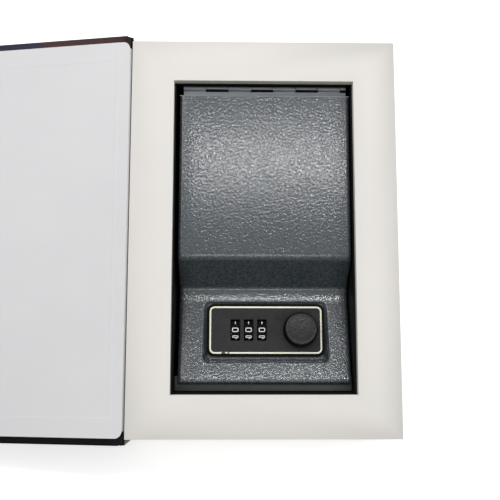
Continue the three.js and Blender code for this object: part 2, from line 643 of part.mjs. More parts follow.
// Lid: the outline of its upper face, from the hinge leaf to the nose
const lidTopPath = [
  [PANEL_Y, PAGE_TOP - LID_PANEL_DEPTH],
  [STEP_Y, PAGE_TOP - LID_PANEL_DEPTH],
  [VALLEY_Y, PAGE_TOP - LID_VALLEY_DEPTH],
  [RAMP_Y, PAGE_TOP - LID_VALLEY_DEPTH],
  [RAMP_TOP_Y, PAGE_TOP - LID_RAMP_TOP],
  [NOSE_Y, PAGE_TOP - LID_NOSE_DEPTH],
];

// The floor line of the dish, in the book's frame, at a depth below the plate's face
function lockLine(y, z) {
  const p = new THREE.Vector3(0, y, z).applyAxisAngle(new THREE.Vector3(1, 0, 0), LOCK_TILT);
  return [LOCK_Y + p.y, LOCK_Z + p.z];
}

// The room inside the dish, or its outside when it is grown by the sheet
function dishRoom(grow, floor) {
  const [headY, headZ] = lockLine(PLATE_LENGTH / 2 + DISH_HEAD_SIDE + grow, floor);
  const [tailY, tailZ] = lockLine(-PLATE_LENGTH / 2 - DISH_TAIL_SIDE - grow, floor);
  const left = LOCK_X - PLATE_WIDTH / 2 - DISH_LEFT_SIDE - grow;
  const right = LOCK_X + PLATE_WIDTH / 2 + DISH_RIGHT_SIDE + grow;
  const high = PAGE_TOP + PAST;
  const [headLean, tailLean] = [headZ, tailZ].map((z) => DISH_LEAN * (high - z));
  const alongLid = outline([
    [headY, headZ],
    [headY + headLean, high],
    [tailY - tailLean, high],
    [tailY, tailZ],
  ]);
  const acrossLid = outline([
    [left, headZ],
    [right, headZ],
    [right + headLean, high],
    [left - headLean, high],
  ]);
  const long = solid(prismAlongX(alongLid, left - headLean, right + headLean));
  return long.intersect(solid(prismAlongY(acrossLid, tailY - tailLean, headY + headLean)));
}

function addLid() {
  const sheet = solid(prismAlongX(sheetOutline(lidTopPath, LID_SHEET, 1), LID_LEFT, LID_RIGHT));
  const skirtShape = sheetOutline(lidTopPath, LID_SKIRT, 1);
  const overRail = box(LID_LEFT, LID_RIGHT, PAGE_TAIL, RAIL_FACE + RAIL_SKIRT_GAP, 0, PAGE_TOP);
  const skirts = [
    cut(prismAlongX(skirtShape, LID_LEFT, LID_LEFT + LID_SHEET), overRail),
    cut(prismAlongX(skirtShape, LID_RIGHT - LID_SHEET, LID_RIGHT), overRail),
  ];
  const low = BOX_FLOOR;
  const under = outline([[lidTopPath[0][0], low], ...lidTopPath, [lidTopPath.at(-1)[0], low]].reverse());
  const underLid = solid(prismAlongX(under, LID_LEFT, LID_RIGHT));
  const pan = dishRoom(LID_SHEET, PLATE_FLOOR - LID_SHEET).intersect(underLid);
  const pressed = cut(join(sheet, ...skirts, pan), dishRoom(0, PLATE_FLOOR));

  const leafTop = PAGE_TOP - LEAF_DEPTH;
  const leafEnd = PANEL_Y - LID_SHEET;
  const leafRight = HINGE_LEFT + HINGE_LENGTH - KNUCKLE_GAP / 2;
  const leaf = box(
    HINGE_LEFT + KNUCKLE_GAP / 2, leafRight, leafEnd, HINGE_Y, leafTop - LID_LEAF, leafTop,
  );
  const clear = HINGE_KNUCKLE_R + KNUCKLE_GAP;
  const notches = knuckleSpans(1).map(([x0, x1]) => box(
    x0 - KNUCKLE_GAP, x1 + KNUCKLE_GAP, HINGE_Y - clear, HINGE_Y + clear, HINGE_Z - clear, HINGE_Z + clear,
  ));
  const knuckles = knuckleSpans(0).map((span) => barrel(span, HINGE_KNUCKLE_R));
  const hinged = cut(join(pressed, cut(leaf, ...notches), ...knuckles), hingeBore());

  const wheelHole = box(
    CASE_IN_LEFT, CASE_IN_RIGHT, -WHEEL_R - HOLE_CLEAR, WHEEL_R + HOLE_CLEAR,
    UNDER_LID - LID_SHEET, PLATE_FLOOR + DISH_FLOOR_GAP / 2,
  );
  const bushHole = rod(
    BUSH_R + HOLE_CLEAR, KNOB_X, 0, UNDER_LID - LID_SHEET, PLATE_FLOOR + DISH_FLOOR_GAP / 2,
  );
  const floorHoles = [wheelHole, bushHole, ...lockScrewHoles(UNDER_LID - LID_SHEET, -PLATE_THICK)];
  lock.updateMatrix();
  floorHoles.forEach((hole) => hole.applyMatrix4(lock.matrix));
  piece(lid, 'lid_panel', cut(hinged, ...floorHoles), material(LID_GREY, 0.45, 0.5));
}

// Lock plate: rounded bar with three windows, a hole for the bush and a raised rim line
const wheelX = (i) => WHEEL_FIRST_X + i * WHEEL_PITCH;
const wheelIndexes = [...Array(WHEEL_COUNT).keys()];
const lockScrewPlaces = [
  [-LOCK_SCREW_X, -LOCK_SCREW_Y],
  [-LOCK_SCREW_X, LOCK_SCREW_Y],
  [LOCK_SCREW_X, -LOCK_SCREW_Y],
  [LOCK_SCREW_X, LOCK_SCREW_Y],
];

function lockScrewHoles(z0, z1) {
  return lockScrewPlaces.map(([x, y]) => rod(LOCK_SCREW_R + HOLE_CLEAR, x, y, z0, z1));
}

function addPlate() {
  const plate = prismAlongZ(roundedRect(PLATE_WIDTH, PLATE_LENGTH, PLATE_CORNER), -PLATE_THICK, 0);
  const rim = prismAlongZ(roundedRect(PLATE_WIDTH, PLATE_LENGTH, PLATE_CORNER), -PLATE_RIM_H, PLATE_RIM_H);
  const inner = roundedRect(
    PLATE_WIDTH - 2 * PLATE_RIM, PLATE_LENGTH - 2 * PLATE_RIM, PLATE_CORNER - PLATE_RIM,
  );
  const field = prismAlongZ(inner, 0, 2 * PLATE_RIM_H);
  const windows = wheelIndexes.map((i) => prismAlongZ(
    roundedRect(WINDOW_WIDTH, WINDOW_LENGTH, WINDOW_CORNER, wheelX(i)), -PLATE_THICK - PAST, PLATE_THICK,
  ));
  const bushHole = rod(BUSH_R + HOLE_CLEAR, KNOB_X, 0, -PLATE_THICK - PAST, PLATE_THICK);
  const screwHoles = lockScrewHoles(-PLATE_THICK - PAST, -PLATE_THICK + LOCK_SCREW_BITE + HOLE_CLEAR);
  const shape = cut(join(plate, rim), field, bushHole, ...windows, ...screwHoles);
  piece(lock, 'lock_plate', shape, material(PLATE_BLACK, 0.5, 0.2));

  lockScrewPlaces.forEach(([x, y], i) => {
    const headTop = (x < 0 ? CASE_TOP - CASE_SHEET : UNDER_LID) - GLUE_GAP;
    const screw = join(
      rod(LOCK_SCREW_R, x, y, headTop - LOCK_SCREW_HEAD_H, -PLATE_THICK + LOCK_SCREW_BITE),
      rod(LOCK_SCREW_HEAD_R, x, y, headTop - LOCK_SCREW_HEAD_H, headTop),
    );
    piece(lock, `lock_screw_${i + 1}`, screw, material(STEEL, 0.35, 0.9));
  });
}

// Case under the dish: floor, back and two side walls that carry the axle, and two flanges
function addCase() {
  const [left, right] = [CASE_IN_LEFT - CASE_SHEET, CASE_IN_RIGHT + CASE_SHEET];
  const backY = CASE_BACK_Y + CASE_SHEET;
  const flangeLeft = -LOCK_SCREW_X - CASE_FLANGE_EDGE;
  const flangeSide = LOCK_SCREW_Y + CASE_FLANGE_SIDE;
  const parts = [
    box(left, right, CASE_FRONT_Y, backY, CASE_LOW, CASE_IN_LOW),
    box(left, right, CASE_BACK_Y, backY, CASE_LOW, CASE_TOP),
    box(left, CASE_IN_LEFT, CASE_SIDE_FRONT_Y, backY, CASE_LOW, CASE_TOP),
    box(CASE_IN_RIGHT, right, CASE_SIDE_FRONT_Y, backY, CASE_LOW, CASE_TOP),
    box(flangeLeft, CASE_IN_LEFT, -flangeSide, flangeSide, CASE_TOP - CASE_SHEET, CASE_TOP),
    box(CASE_IN_RIGHT, right + CASE_SHEET, CASE_SIDE_FRONT_Y, backY, CASE_TOP - CASE_SHEET, CASE_TOP),
  ];
  const axleHole = rodAlongX(AXLE_R + AXLE_CLEAR, left - PAST, right + PAST, 0, WHEEL_Z);
  const resetSlot = box(
    RESET_X - RESET_STUB / 2 - RESET_CLEAR, RESET_X + RESET_STUB / 2 + RESET_TRAVEL + RESET_CLEAR,
    RESET_Y - RESET_STUB / 2 - RESET_CLEAR, RESET_Y + RESET_STUB / 2 + RESET_CLEAR,
    CASE_LOW - CASE_SHEET, CASE_IN_LOW + CASE_SHEET,
  );
  const holes = [axleHole, resetSlot, ...lockScrewHoles(CASE_LOW, CASE_TOP + PAST)];
  piece(lock, 'lock_case', cut(join(...parts), ...holes), material(STEEL, 0.5, 0.8));
  const axle = rodAlongX(AXLE_R, left - GLUE_GAP, right + GLUE_GAP, 0, WHEEL_Z);
  piece(lock, 'wheel_axle', axle, material(STEEL, 0.3, 0.9));

  const slideTop = CASE_LOW - RESET_CLEAR;
  const slide = join(
    box(
      RESET_X - RESET_WIDTH / 2, RESET_X + RESET_WIDTH / 2, RESET_Y - RESET_LENGTH / 2,
      RESET_Y + RESET_LENGTH / 2, slideTop - RESET_THICK, slideTop,
    ),
    box(
      RESET_X - RESET_STUB / 2, RESET_X + RESET_STUB / 2, RESET_Y - RESET_STUB / 2,
      RESET_Y + RESET_STUB / 2, slideTop - RESET_THICK, CASE_IN_LOW,
    ),
  );
  piece(lock, 'reset_slide', slide, material(BRASS, 0.4, 0.9));
}

// One number wheel: ten flats of arc with a finger notch between each two
function wheelOutline() {
  const points = [];
  const share = (2 * Math.PI) / WHEEL_DIGITS;
  for (let digit = 0; digit < WHEEL_DIGITS; digit += 1) {
    const from = (digit - 0.5) * share;
    points.push([from, WHEEL_R - WHEEL_NOTCH]);
    for (let step = 0; step <= WHEEL_ARC_STEPS; step += 1) {
      const along = WHEEL_NOTCH_HALF + ((share - 2 * WHEEL_NOTCH_HALF) * step) / WHEEL_ARC_STEPS;
      points.push([from + along, WHEEL_R]);
    }
  }
  return outline(points.map(([angle, r]) => [r * Math.sin(angle), r * Math.cos(angle)]).reverse());
}

function sleeveOutline() {
  const shape = new THREE.Shape();
  const half = Math.acos((SLEEVE_R - SLEEVE_FLAT) / SLEEVE_R);
  shape.absarc(0, 0, SLEEVE_R, half - Math.PI / 2, 1.5 * Math.PI - half);
  shape.closePath();
  return shape;
}

function addWheels() {
  const bore = new THREE.Path().absarc(0, 0, AXLE_R + AXLE_CLEAR, 0, 2 * Math.PI, true);
  for (const i of wheelIndexes) {
    const wheel = wheelOutline();
    wheel.holes.push(bore);
    const x0 = wheelX(i) - WHEEL_WIDTH / 2;
    const x1 = x0 + WHEEL_WIDTH;
    const ring = prismAlongX(wheel, x0, x1).translate(0, 0, WHEEL_Z);
    piece(lock, `number_wheel_${i + 1}`, ring, material(WHEEL_BLACK, 0.4));
    const sleeve = sleeveOutline();
    sleeve.holes.push(bore);
    const disc = prismAlongX(sleeve, x1 + SLEEVE_GAP, x1 + SLEEVE_GAP + SLEEVE_WIDTH);
    piece(lock, `code_sleeve_${i + 1}`, disc.translate(0, 0, WHEEL_Z), material(BRASS, 0.4, 0.9));
  }
}

// Comb spring on the case's back wall: a band with one bent finger for each wheel
function addDetentSpring() {
  const wallY = CASE_BACK_Y - GLUE_GAP;
  const top = WHEEL_Z + SPRING_BAND;
  const noseY = WHEEL_R + SPRING_NOSE_GAP + SPRING_SHEET;
  const parts = [box(
    wheelX(0) - WHEEL_WIDTH / 2, wheelX(WHEEL_COUNT - 1) + WHEEL_WIDTH / 2,
    wallY - SPRING_SHEET, wallY, WHEEL_Z + SPRING_BAND / 2, top,
  )];
  const path = [
    [wallY, top],
    [wallY, WHEEL_Z + SPRING_BAND / 2],
    [noseY, WHEEL_Z],
    [wallY - SPRING_SHEET, WHEEL_Z - SPRING_DROP],
  ];
  for (const i of wheelIndexes) {
    const finger = sheetOutline(path, SPRING_SHEET, -1);
    parts.push(prismAlongX(finger, wheelX(i) - SPRING_FINGER / 2, wheelX(i) + SPRING_FINGER / 2));
  }
  piece(lock, 'detent_spring', join(...parts), material(STEEL, 0.25, 0.95));
}

// Knob on its spindle, turning in a bush that a nut holds to the dish floor
function addKnob() {
  const top = KNOB_LIFT + KNOB_H;
  const dome = new THREE.SplineCurve([
    new THREE.Vector2(KNOB_R, top - KNOB_DOME),
    new THREE.Vector2(KNOB_R - KNOB_DOME, top - KNOB_DOME / 4),
    new THREE.Vector2(0, top),
  ]);
  const profile = [
    [0, KNOB_SOCKET],
    [SPINDLE_R + SPINDLE_CLEAR, KNOB_SOCKET],
    [SPINDLE_R + SPINDLE_CLEAR, KNOB_LIFT],
    [KNOB_R - KNOB_FOOT, KNOB_LIFT],
    [KNOB_R, KNOB_LIFT + KNOB_FOOT],
    ...dome.getPoints(2 * CORNER_STEPS).map((p) => [Math.max(p.x, 0), p.y]),
  ];
  piece(lock, 'knob', lathe(profile).translate(KNOB_X, 0, 0), material(KNOB_BLACK, 0.45));

  const crankLow = CRANK_TOP - CRANK_THICK;
  const spindle = rod(SPINDLE_R, KNOB_X, 0, CRANK_TOP + GLUE_GAP, KNOB_SOCKET - GLUE_GAP, ROUND_STEPS);
  piece(lock, 'knob_spindle', spindle, material(STEEL, 0.3, 0.9));
  const bush = cut(
    rod(BUSH_R, KNOB_X, 0, NUT_TOP - NUT_THICK, 0, ROUND_STEPS),
    rod(SPINDLE_R + SPINDLE_CLEAR, KNOB_X, 0, NUT_TOP - 2 * NUT_THICK, NUT_THICK, ROUND_STEPS),
  );
  piece(lock, 'knob_bush', bush, material(BRASS, 0.35, 0.9));
  const nut = cut(
    rod(NUT_R, KNOB_X, 0, NUT_TOP - NUT_THICK, NUT_TOP, 6),
    rod(BUSH_R + HOLE_CLEAR, KNOB_X, 0, NUT_TOP - 2 * NUT_THICK, NUT_TOP + NUT_THICK),
  );
  piece(lock, 'bush_nut', nut, material(BRASS, 0.35, 0.9));

  const pinX = KNOB_X + CRANK_THROW * Math.cos(CRANK_START);
  const pinY = CRANK_THROW * Math.sin(CRANK_START);
  const crank = join(
    rod(CRANK_R, KNOB_X, 0, crankLow, CRANK_TOP, ROUND_STEPS),
    rod(CRANK_PIN_R, pinX, pinY, BOLT_LOW, CRANK_TOP),
  );
  piece(lock, 'crank_disc', crank, material(STEEL, 0.4, 0.85));
}

// Bolt that the crank drives, its guide, and the fence that faces the code sleeves
function addBolt() {
  const pinY = CRANK_THROW * Math.sin(CRANK_START);
  const reach = CRANK_PIN_R + BOLT_SLOT_CLEAR;
  const plate = box(
    KNOB_X - BOLT_WIDTH / 2, KNOB_X + BOLT_WIDTH / 2,
    BOLT_TIP_Y, pinY + reach + BOLT_BACK, BOLT_LOW, BOLT_TOP,
  );
  const slot = box(
    KNOB_X - CRANK_THROW - reach, KNOB_X + CRANK_THROW * Math.cos(CRANK_START) + reach,
    pinY - reach, pinY + reach, BOLT_LOW - PAST, BOLT_TOP + PAST,
  );
  piece(lock, 'latch_bolt', cut(plate, slot), material(STEEL, 0.35, 0.9));

  const inner = BOLT_WIDTH / 2 + GUIDE_CLEAR;
  const outer = inner + GUIDE_SHEET;
  const feetTop = UNDER_LID - GLUE_GAP;
  const low = BOLT_LOW - GUIDE_CLEAR;
  const strap = outline([
    [KNOB_X - outer - GUIDE_FOOT, feetTop - GUIDE_SHEET],
    [KNOB_X - outer, feetTop - GUIDE_SHEET],
    [KNOB_X - outer, low - GUIDE_SHEET],
    [KNOB_X + outer, low - GUIDE_SHEET],
    [KNOB_X + outer, feetTop - GUIDE_SHEET],
    [KNOB_X + outer + GUIDE_FOOT, feetTop - GUIDE_SHEET],
    [KNOB_X + outer + GUIDE_FOOT, feetTop],
    [KNOB_X + inner, feetTop],
    [KNOB_X + inner, low],
    [KNOB_X - inner, low],
    [KNOB_X - inner, feetTop],
    [KNOB_X - outer - GUIDE_FOOT, feetTop],
  ]);
  const guide = prismAlongY(strap, GUIDE_Y - GUIDE_LENGTH / 2, GUIDE_Y + GUIDE_LENGTH / 2);
  piece(lock, 'bolt_guide', guide, material(STEEL, 0.5, 0.8));

  const sleeveX = (i) => wheelX(i) + WHEEL_WIDTH / 2 + SLEEVE_GAP + SLEEVE_WIDTH / 2;
  const bar = box(
    sleeveX(0) - FENCE_TOOTH, KNOB_X - BOLT_WIDTH / 2 + FENCE_LAP,
    FENCE_FRONT_Y, FENCE_BACK_Y, FENCE_TOP - FENCE_THICK, FENCE_TOP,
  );
  const teeth = wheelIndexes.map((i) => box(
    sleeveX(i) - FENCE_TOOTH / 2, sleeveX(i) + FENCE_TOOTH / 2,
    FENCE_FRONT_Y, FENCE_TOOTH_Y, FENCE_TOP - FENCE_THICK, FENCE_TOP,
  ));
  piece(lock, 'code_fence', join(bar, ...teeth), material(STEEL, 0.35, 0.9));
}

addBoards();
addCaseWrap();
addBackPastedown();
addPages();
addFrontCover();
addBox();
addStrikeRail();
addHinge();
addLid();
addPlate();
addCase();
addWheels();
addDetentSpring();
addKnob();
addBolt();

export default book;
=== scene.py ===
# %% [markdown]
# A book that hides a steel cash box, seen open from above.
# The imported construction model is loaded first, and every visible piece is made around it.
# All lengths are metres; MM turns a drawing size in millimetres into metres.

import json
import math
import random

import bmesh
import bpy
from mathutils import Matrix, Vector

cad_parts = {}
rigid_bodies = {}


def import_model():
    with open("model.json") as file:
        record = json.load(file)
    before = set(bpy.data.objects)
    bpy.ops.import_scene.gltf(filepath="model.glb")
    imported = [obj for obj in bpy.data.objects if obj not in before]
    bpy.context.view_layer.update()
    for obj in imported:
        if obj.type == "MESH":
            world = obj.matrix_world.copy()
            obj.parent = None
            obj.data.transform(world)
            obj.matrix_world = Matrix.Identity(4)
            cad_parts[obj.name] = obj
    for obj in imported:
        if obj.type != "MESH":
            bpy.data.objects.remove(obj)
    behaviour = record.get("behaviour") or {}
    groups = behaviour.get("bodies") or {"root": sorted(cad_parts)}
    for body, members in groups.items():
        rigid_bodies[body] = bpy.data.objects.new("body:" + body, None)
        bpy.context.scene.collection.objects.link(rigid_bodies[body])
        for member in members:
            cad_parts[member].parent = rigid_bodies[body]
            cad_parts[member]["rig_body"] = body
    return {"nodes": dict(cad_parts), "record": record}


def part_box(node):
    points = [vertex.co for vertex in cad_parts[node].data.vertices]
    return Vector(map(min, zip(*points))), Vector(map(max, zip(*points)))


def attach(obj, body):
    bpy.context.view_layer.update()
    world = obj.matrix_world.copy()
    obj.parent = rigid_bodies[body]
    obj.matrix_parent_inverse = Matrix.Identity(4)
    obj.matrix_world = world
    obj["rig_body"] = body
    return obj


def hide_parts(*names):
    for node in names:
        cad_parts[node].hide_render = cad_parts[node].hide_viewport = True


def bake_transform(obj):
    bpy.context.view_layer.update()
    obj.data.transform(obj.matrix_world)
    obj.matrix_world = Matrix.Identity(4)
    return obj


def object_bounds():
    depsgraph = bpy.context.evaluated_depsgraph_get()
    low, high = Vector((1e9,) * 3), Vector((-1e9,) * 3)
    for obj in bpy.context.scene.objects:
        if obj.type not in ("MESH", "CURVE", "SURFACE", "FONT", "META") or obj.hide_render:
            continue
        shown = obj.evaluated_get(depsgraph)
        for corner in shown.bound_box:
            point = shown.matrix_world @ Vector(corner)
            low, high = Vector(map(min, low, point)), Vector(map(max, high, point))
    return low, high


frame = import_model()
MM = 0.001
CAD_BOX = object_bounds()


def add_object(name, data):
    made = bpy.data.objects.new(name, data)
    bpy.context.scene.collection.objects.link(made)
    return made


print("construction nodes:", len(frame["nodes"]))

# %% [markdown]
# The camera stands where the photographer stood: almost straight above the book and a little to its tail.
# Its place was found from the corners of the pages and of the cut-out, whose real sizes are known.
# A lens is written as a focal length in pixels of the picture, turned into millimetres of a 36 mm sensor.

# %% Camera
PAGE_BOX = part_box("front_flyleaf")
PAGE_CORNER = Vector((PAGE_BOX[0].x, PAGE_BOX[0].y, PAGE_BOX[1].z))
CAMERA_FROM_CORNER = Vector((62.34, 48.77, 435.31)) * MM
CAMERA_TURN = Vector((0.133, -0.018, 0.002))
FOCAL_PIXELS = 760
PICTURE_PIXELS = 500
SENSOR_MM = 36

camera_data = bpy.data.cameras.new("camera")
camera_data.sensor_width = SENSOR_MM
camera_data.lens = FOCAL_PIXELS / PICTURE_PIXELS * SENSOR_MM
camera_data.clip_start = 0.01
camera = add_object("camera", camera_data)
camera_turn = Matrix.Rotation(CAMERA_TURN.length, 4, CAMERA_TURN.normalized())
camera.matrix_world = Matrix.Translation(PAGE_CORNER + CAMERA_FROM_CORNER) @ camera_turn
bpy.context.scene.camera = camera
bpy.context.scene.view_settings.view_transform = "Standard"
print("lens:", round(camera_data.lens, 2), "mm")

# %% [markdown]
# Materials are built from nodes with a few helpers. One starts a material with its plain values, one places
# a node with its values, and one links an output of a node to an input of another. Patterns use Object
# coordinates, in metres, so a scale of 1000 repeats every millimetre.

# %% Material helpers
def new_material(name, color, roughness, metallic=0.0, **plain):
    material = bpy.data.materials.new(name)
    material.use_nodes = True
    shader = material.node_tree.nodes["Principled BSDF"]
    shader.inputs["Base Color"].default_value = (*color, 1)
    shader.inputs["Roughness"].default_value = roughness
    shader.inputs["Metallic"].default_value = metallic
    for socket, value in plain.items():
        shader.inputs[socket.replace("_", " ")].default_value = value
    return material


def tree_of(material):
    tree = material.node_tree
    return tree, tree.nodes["Principled BSDF"]


def place_node(tree, kind, **values):
    node = tree.nodes.new("ShaderNode" + kind)
    for key, value in values.items():
        socket = key.replace("_", " ")
        if socket in node.inputs:
            node.inputs[socket].default_value = value
        else:
            setattr(node, key, value)
    return node


def link(source, output, target, socket):
    source.id_data.links.new(source.outputs[output], target.inputs[socket])


def object_point(tree, stretch=(1, 1, 1)):
    source = place_node(tree, "TexCoord")
    mapping = place_node(tree, "Mapping", Scale=stretch)
    link(source, "Object", mapping, "Vector")
    return mapping


print("helpers for materials: start, place, link, object point")

# %% [markdown]
# The photograph has a plain white ground. Here it glows a little, so that it stays white beside the lamps.

# %% Ground
GROUND_SIZE = 6.0
GROUND_GAP = 0.05 * MM

ground_mesh = bmesh.new()
bmesh.ops.create_grid(ground_mesh, x_segments=1, y_segments=1, size=GROUND_SIZE / 2)
bmesh.ops.translate(ground_mesh, verts=ground_mesh.verts, vec=(0, 0, CAD_BOX[0].z - GROUND_GAP))
ground_data = bpy.data.meshes.new("ground")
ground_mesh.to_mesh(ground_data)
ground_mesh.free()
ground = add_object("ground", ground_data)
GROUND_WHITE = new_material(
    "ground_white", (0.93, 0.93, 0.93), 0.95, Emission_Strength=0.50, Emission_Color=(1, 1, 1, 1)
)
ground.data.materials.append(GROUND_WHITE)
print("ground lies at", round(ground_data.vertices[0].co.z / MM, 2), "mm")

# %% [markdown]
# The light in the photograph is soft and comes from several sides. A narrow strip over the head draws the
# bright line on the lid's bend, a broad lamp on each side lights the paper, a weak strip stands further
# back, and a wide one over the tail lightens the shadows. The sky is strong overhead and weak near the
# ground, so glossy black stays dark, but the camera sees it as plain white. A lamp's row gives its name, its
# place, what it aims at, its size, all in metres, and its power in watts.

# %% Lamps and sky
LAMPS = [
    ("head_lamp", (0.05, 0.240, 0.75), (0.05, 0, 0.03), (0.40, 0.022), 1.0),
    ("left_lamp", (-0.50, 0.42, 0.70), (0, 0, 0.03), (0.50, 0.50), 2.6),
    ("right_lamp", (0.60, 0.20, 0.60), (0, 0, 0.03), (0.50, 0.50), 1.4),
    ("window_lamp", (0.11, 0.60, 0.95), (-0.30, 0.0, 0.03), (0.34, 0.04), 0.20),
    ("tail_lamp", (0.0, -0.42, 1.00), (0, 0, 0.03), (0.40, 0.20), 0.8),
]
SKY_BRIGHT_SIDE = Vector((-0.05, 0.0, 0.995))
SKY_TURN = 0.2
SKY_WEAK, SKY_STRONG = 0.06, 0.68


def soft_lamp(name, place, target, size, power):
    lamp_data = bpy.data.lights.new(name, "AREA")
    lamp_data.shape = "RECTANGLE"
    lamp_data.size, lamp_data.size_y = size
    lamp_data.energy = power
    lamp = add_object(name, lamp_data)
    lamp.location = place
    lamp.rotation_euler = (Vector(target) - Vector(place)).to_track_quat("-Z", "Y").to_euler()


def soft_sky(world):
    tree = world.node_tree
    background = tree.nodes["Background"]
    background.inputs["Color"].default_value = (1.0, 1.0, 1.0, 1)
    direction = place_node(tree, "TexCoord")
    towards = place_node(tree, "VectorMath", operation="DOT_PRODUCT")
    towards.inputs[1].default_value = SKY_BRIGHT_SIDE
    strength = place_node(tree, "MapRange", From_Min=SKY_TURN, To_Min=SKY_WEAK, To_Max=SKY_STRONG)
    link(direction, "Generated", towards, 0)
    link(towards, "Value", strength, "Value")
    seen = place_node(tree, "LightPath")
    shown = place_node(tree, "Mix", B=1.0)
    link(seen, "Is Camera Ray", shown, "Factor")
    link(strength, "Result", shown, "A")
    link(shown, "Result", background, "Strength")


for row in LAMPS:
    soft_lamp(*row)
world = bpy.data.worlds.new("sky")
bpy.context.scene.world = world
world.use_nodes = True
soft_sky(world)
print("lamps:", [lamp.name for lamp in bpy.data.lights])

# %% [markdown]
# Two effects are shared by many finishes, so they are node groups that are built once. Grain is a fine
# height pattern from noise at one scale, and mottle is a slow change between two tones.

# %% Shared node groups
def group_tree(name, inputs, outputs):
    tree = bpy.data.node_groups.new(name, "ShaderNodeTree")
    for label, kind, value in inputs:
        socket = tree.interface.new_socket(name=label, in_out="INPUT", socket_type="NodeSocket" + kind)
        if value is not None:
            socket.default_value = value
    for label, kind in outputs:
        tree.interface.new_socket(name=label, in_out="OUTPUT", socket_type="NodeSocket" + kind)
    return tree, tree.nodes.new("NodeGroupInput"), tree.nodes.new("NodeGroupOutput")


def build_grain():
    tree, start, end = group_tree(
        "grain",
        [
            ("Vector", "Vector", None),
            ("Scale", "Float", 1000.0),
            ("Height", "Float", 0.0001),
        ],
        [("Normal", "Vector")],
    )
    noise = place_node(tree, "TexNoise", Detail=3.0, Roughness=0.55)
    bump = place_node(tree, "Bump", Strength=1.0)
    link(start, "Vector", noise, "Vector")
    link(start, "Scale", noise, "Scale")
    link(start, "Height", bump, "Distance")
    link(noise, "Fac", bump, "Height")
    link(bump, "Normal", end, "Normal")
    return tree


def build_mottle():
    tree, start, end = group_tree(
        "mottle",
        [
            ("Vector", "Vector", None),
            ("Scale", "Float", 20.0),
            ("Color A", "Color", (0.5, 0.5, 0.5, 1)),
            ("Color B", "Color", (0.6, 0.6, 0.6, 1)),
        ],
        [("Color", "Color")],
    )
    noise = place_node(tree, "TexNoise", Detail=4.0, Roughness=0.6)
    spread = place_node(tree, "MapRange", From_Min=0.32, From_Max=0.68)
    mix = place_node(tree, "Mix", data_type="RGBA")
    link(start, "Vector", noise, "Vector")
    link(start, "Scale", noise, "Scale")
    link(noise, "Fac", spread, "Value")
    link(spread, "Result", mix, "Factor")
    link(start, "Color A", mix, "A")
    link(start, "Color B", mix, "B")
    link(mix, "Result", end, "Color")
    return tree


GRAIN = build_grain()
MOTTLE = build_mottle()


def use_group(tree, group, **values):
    return place_node(tree, "Group", node_tree=group, **values)


def add_mottle(material, scale, color_a, color_b, stretch=(1, 1, 1)):
    tree, shader = tree_of(material)
    node = use_group(tree, MOTTLE, Scale=scale, Color_A=(*color_a, 1), Color_B=(*color_b, 1))
    link(object_point(tree, stretch), "Vector", node, "Vector")
    link(node, "Color", shader, "Base Color")
    return node


def add_grain(material, scale, height, stretch=(1, 1, 1)):
    tree, shader = tree_of(material)
    node = use_group(tree, GRAIN, Scale=scale, Height=height)
    link(object_point(tree, stretch), "Vector", node, "Vector")
    link(node, "Normal", shader, "Normal")
    return node


print("shared groups and their nodes:", {group.name: len(group.nodes) for group in (GRAIN, MOTTLE)})

# %% [markdown]
# The lid has hammered paint: a glossy blue-grey lacquer that draws itself into small pools while it dries.
# Each pool is a smooth bump one to two millimetres wide, and its slopes catch the lamps as sparkle. Noise at
# that scale bends the surface, the paint between the pools is made darker as painted shade in the hollows,
# and a slow noise changes its shine.

# %% Paints
POOL_HOLLOW_SHADE, POOL_TOP_TONE = (0.030, 0.038, 0.045, 1), (0.071, 0.085, 0.096, 1)


def hammered_paint():
    material = new_material("hammered_paint", (0.075, 0.084, 0.091), 0.16, Specular_IOR_Level=0.8)
    tree, shader = tree_of(material)
    point = object_point(tree)
    pools = place_node(tree, "TexNoise", Scale=700.0, Detail=1.2, Roughness=0.45, Distortion=0.5)
    patches = place_node(tree, "TexNoise", Scale=55.0, Detail=2.0)
    calm = place_node(tree, "Attribute", attribute_name="hammer")
    height = place_node(tree, "Math", operation="MULTIPLY")
    bump = place_node(tree, "Bump", Strength=1.0, Distance=0.00015)
    link(point, "Vector", pools, "Vector")
    link(point, "Vector", patches, "Vector")
    link(pools, "Fac", height, 0)
    link(calm, "Fac", height, 1)
    link(height, "Value", bump, "Height")
    link(bump, "Normal", shader, "Normal")
    # Pool tops get the lighter tone, and the hollows between pools get the darker one as painted shade.
    tone = place_node(tree, "Mix", data_type="RGBA", A=POOL_HOLLOW_SHADE, B=POOL_TOP_TONE)
    spread = place_node(tree, "MapRange", From_Min=0.3, From_Max=0.7)
    link(pools, "Fac", spread, "Value")
    link(spread, "Result", tone, "Factor")
    link(tone, "Result", shader, "Base Color")
    uneven = place_node(tree, "Math", operation="MULTIPLY_ADD")
    uneven.inputs[1].default_value = 0.4
    link(patches, "Fac", uneven, 0)
    link(spread, "Result", uneven, 2)
    rough = place_node(tree, "MapRange", From_Max=1.4, To_Min=0.26, To_Max=0.11)
    link(uneven, "Value", rough, "Value")
    link(rough, "Result", shader, "Roughness")
    return material


def smooth_paint(name, color, roughness, shine=0.5):
    material = new_material(name, color, roughness, 0.1, Specular_IOR_Level=shine)
    add_mottle(material, 90.0, color, tuple(c * 1.18 for c in color))
    add_grain(material, 2600.0, 0.00003)
    return material


HAMMERED = hammered_paint()
# Near-black painted shade, for the box tray and for the slots between the hinge's knuckles.
SHADE_BLACK_PAINT = smooth_paint("box_paint", (0.0045, 0.0048, 0.005), 0.55, 0.12)
RAIL_PAINT = smooth_paint("rail_paint", (0.046, 0.048, 0.049), 0.42)
HINGE_PAINT = smooth_paint("hinge_paint", (0.118, 0.130, 0.142), 0.40)
print("paints:", [paint.name for paint in (HAMMERED, SHADE_BLACK_PAINT, RAIL_PAINT, HINGE_PAINT)])

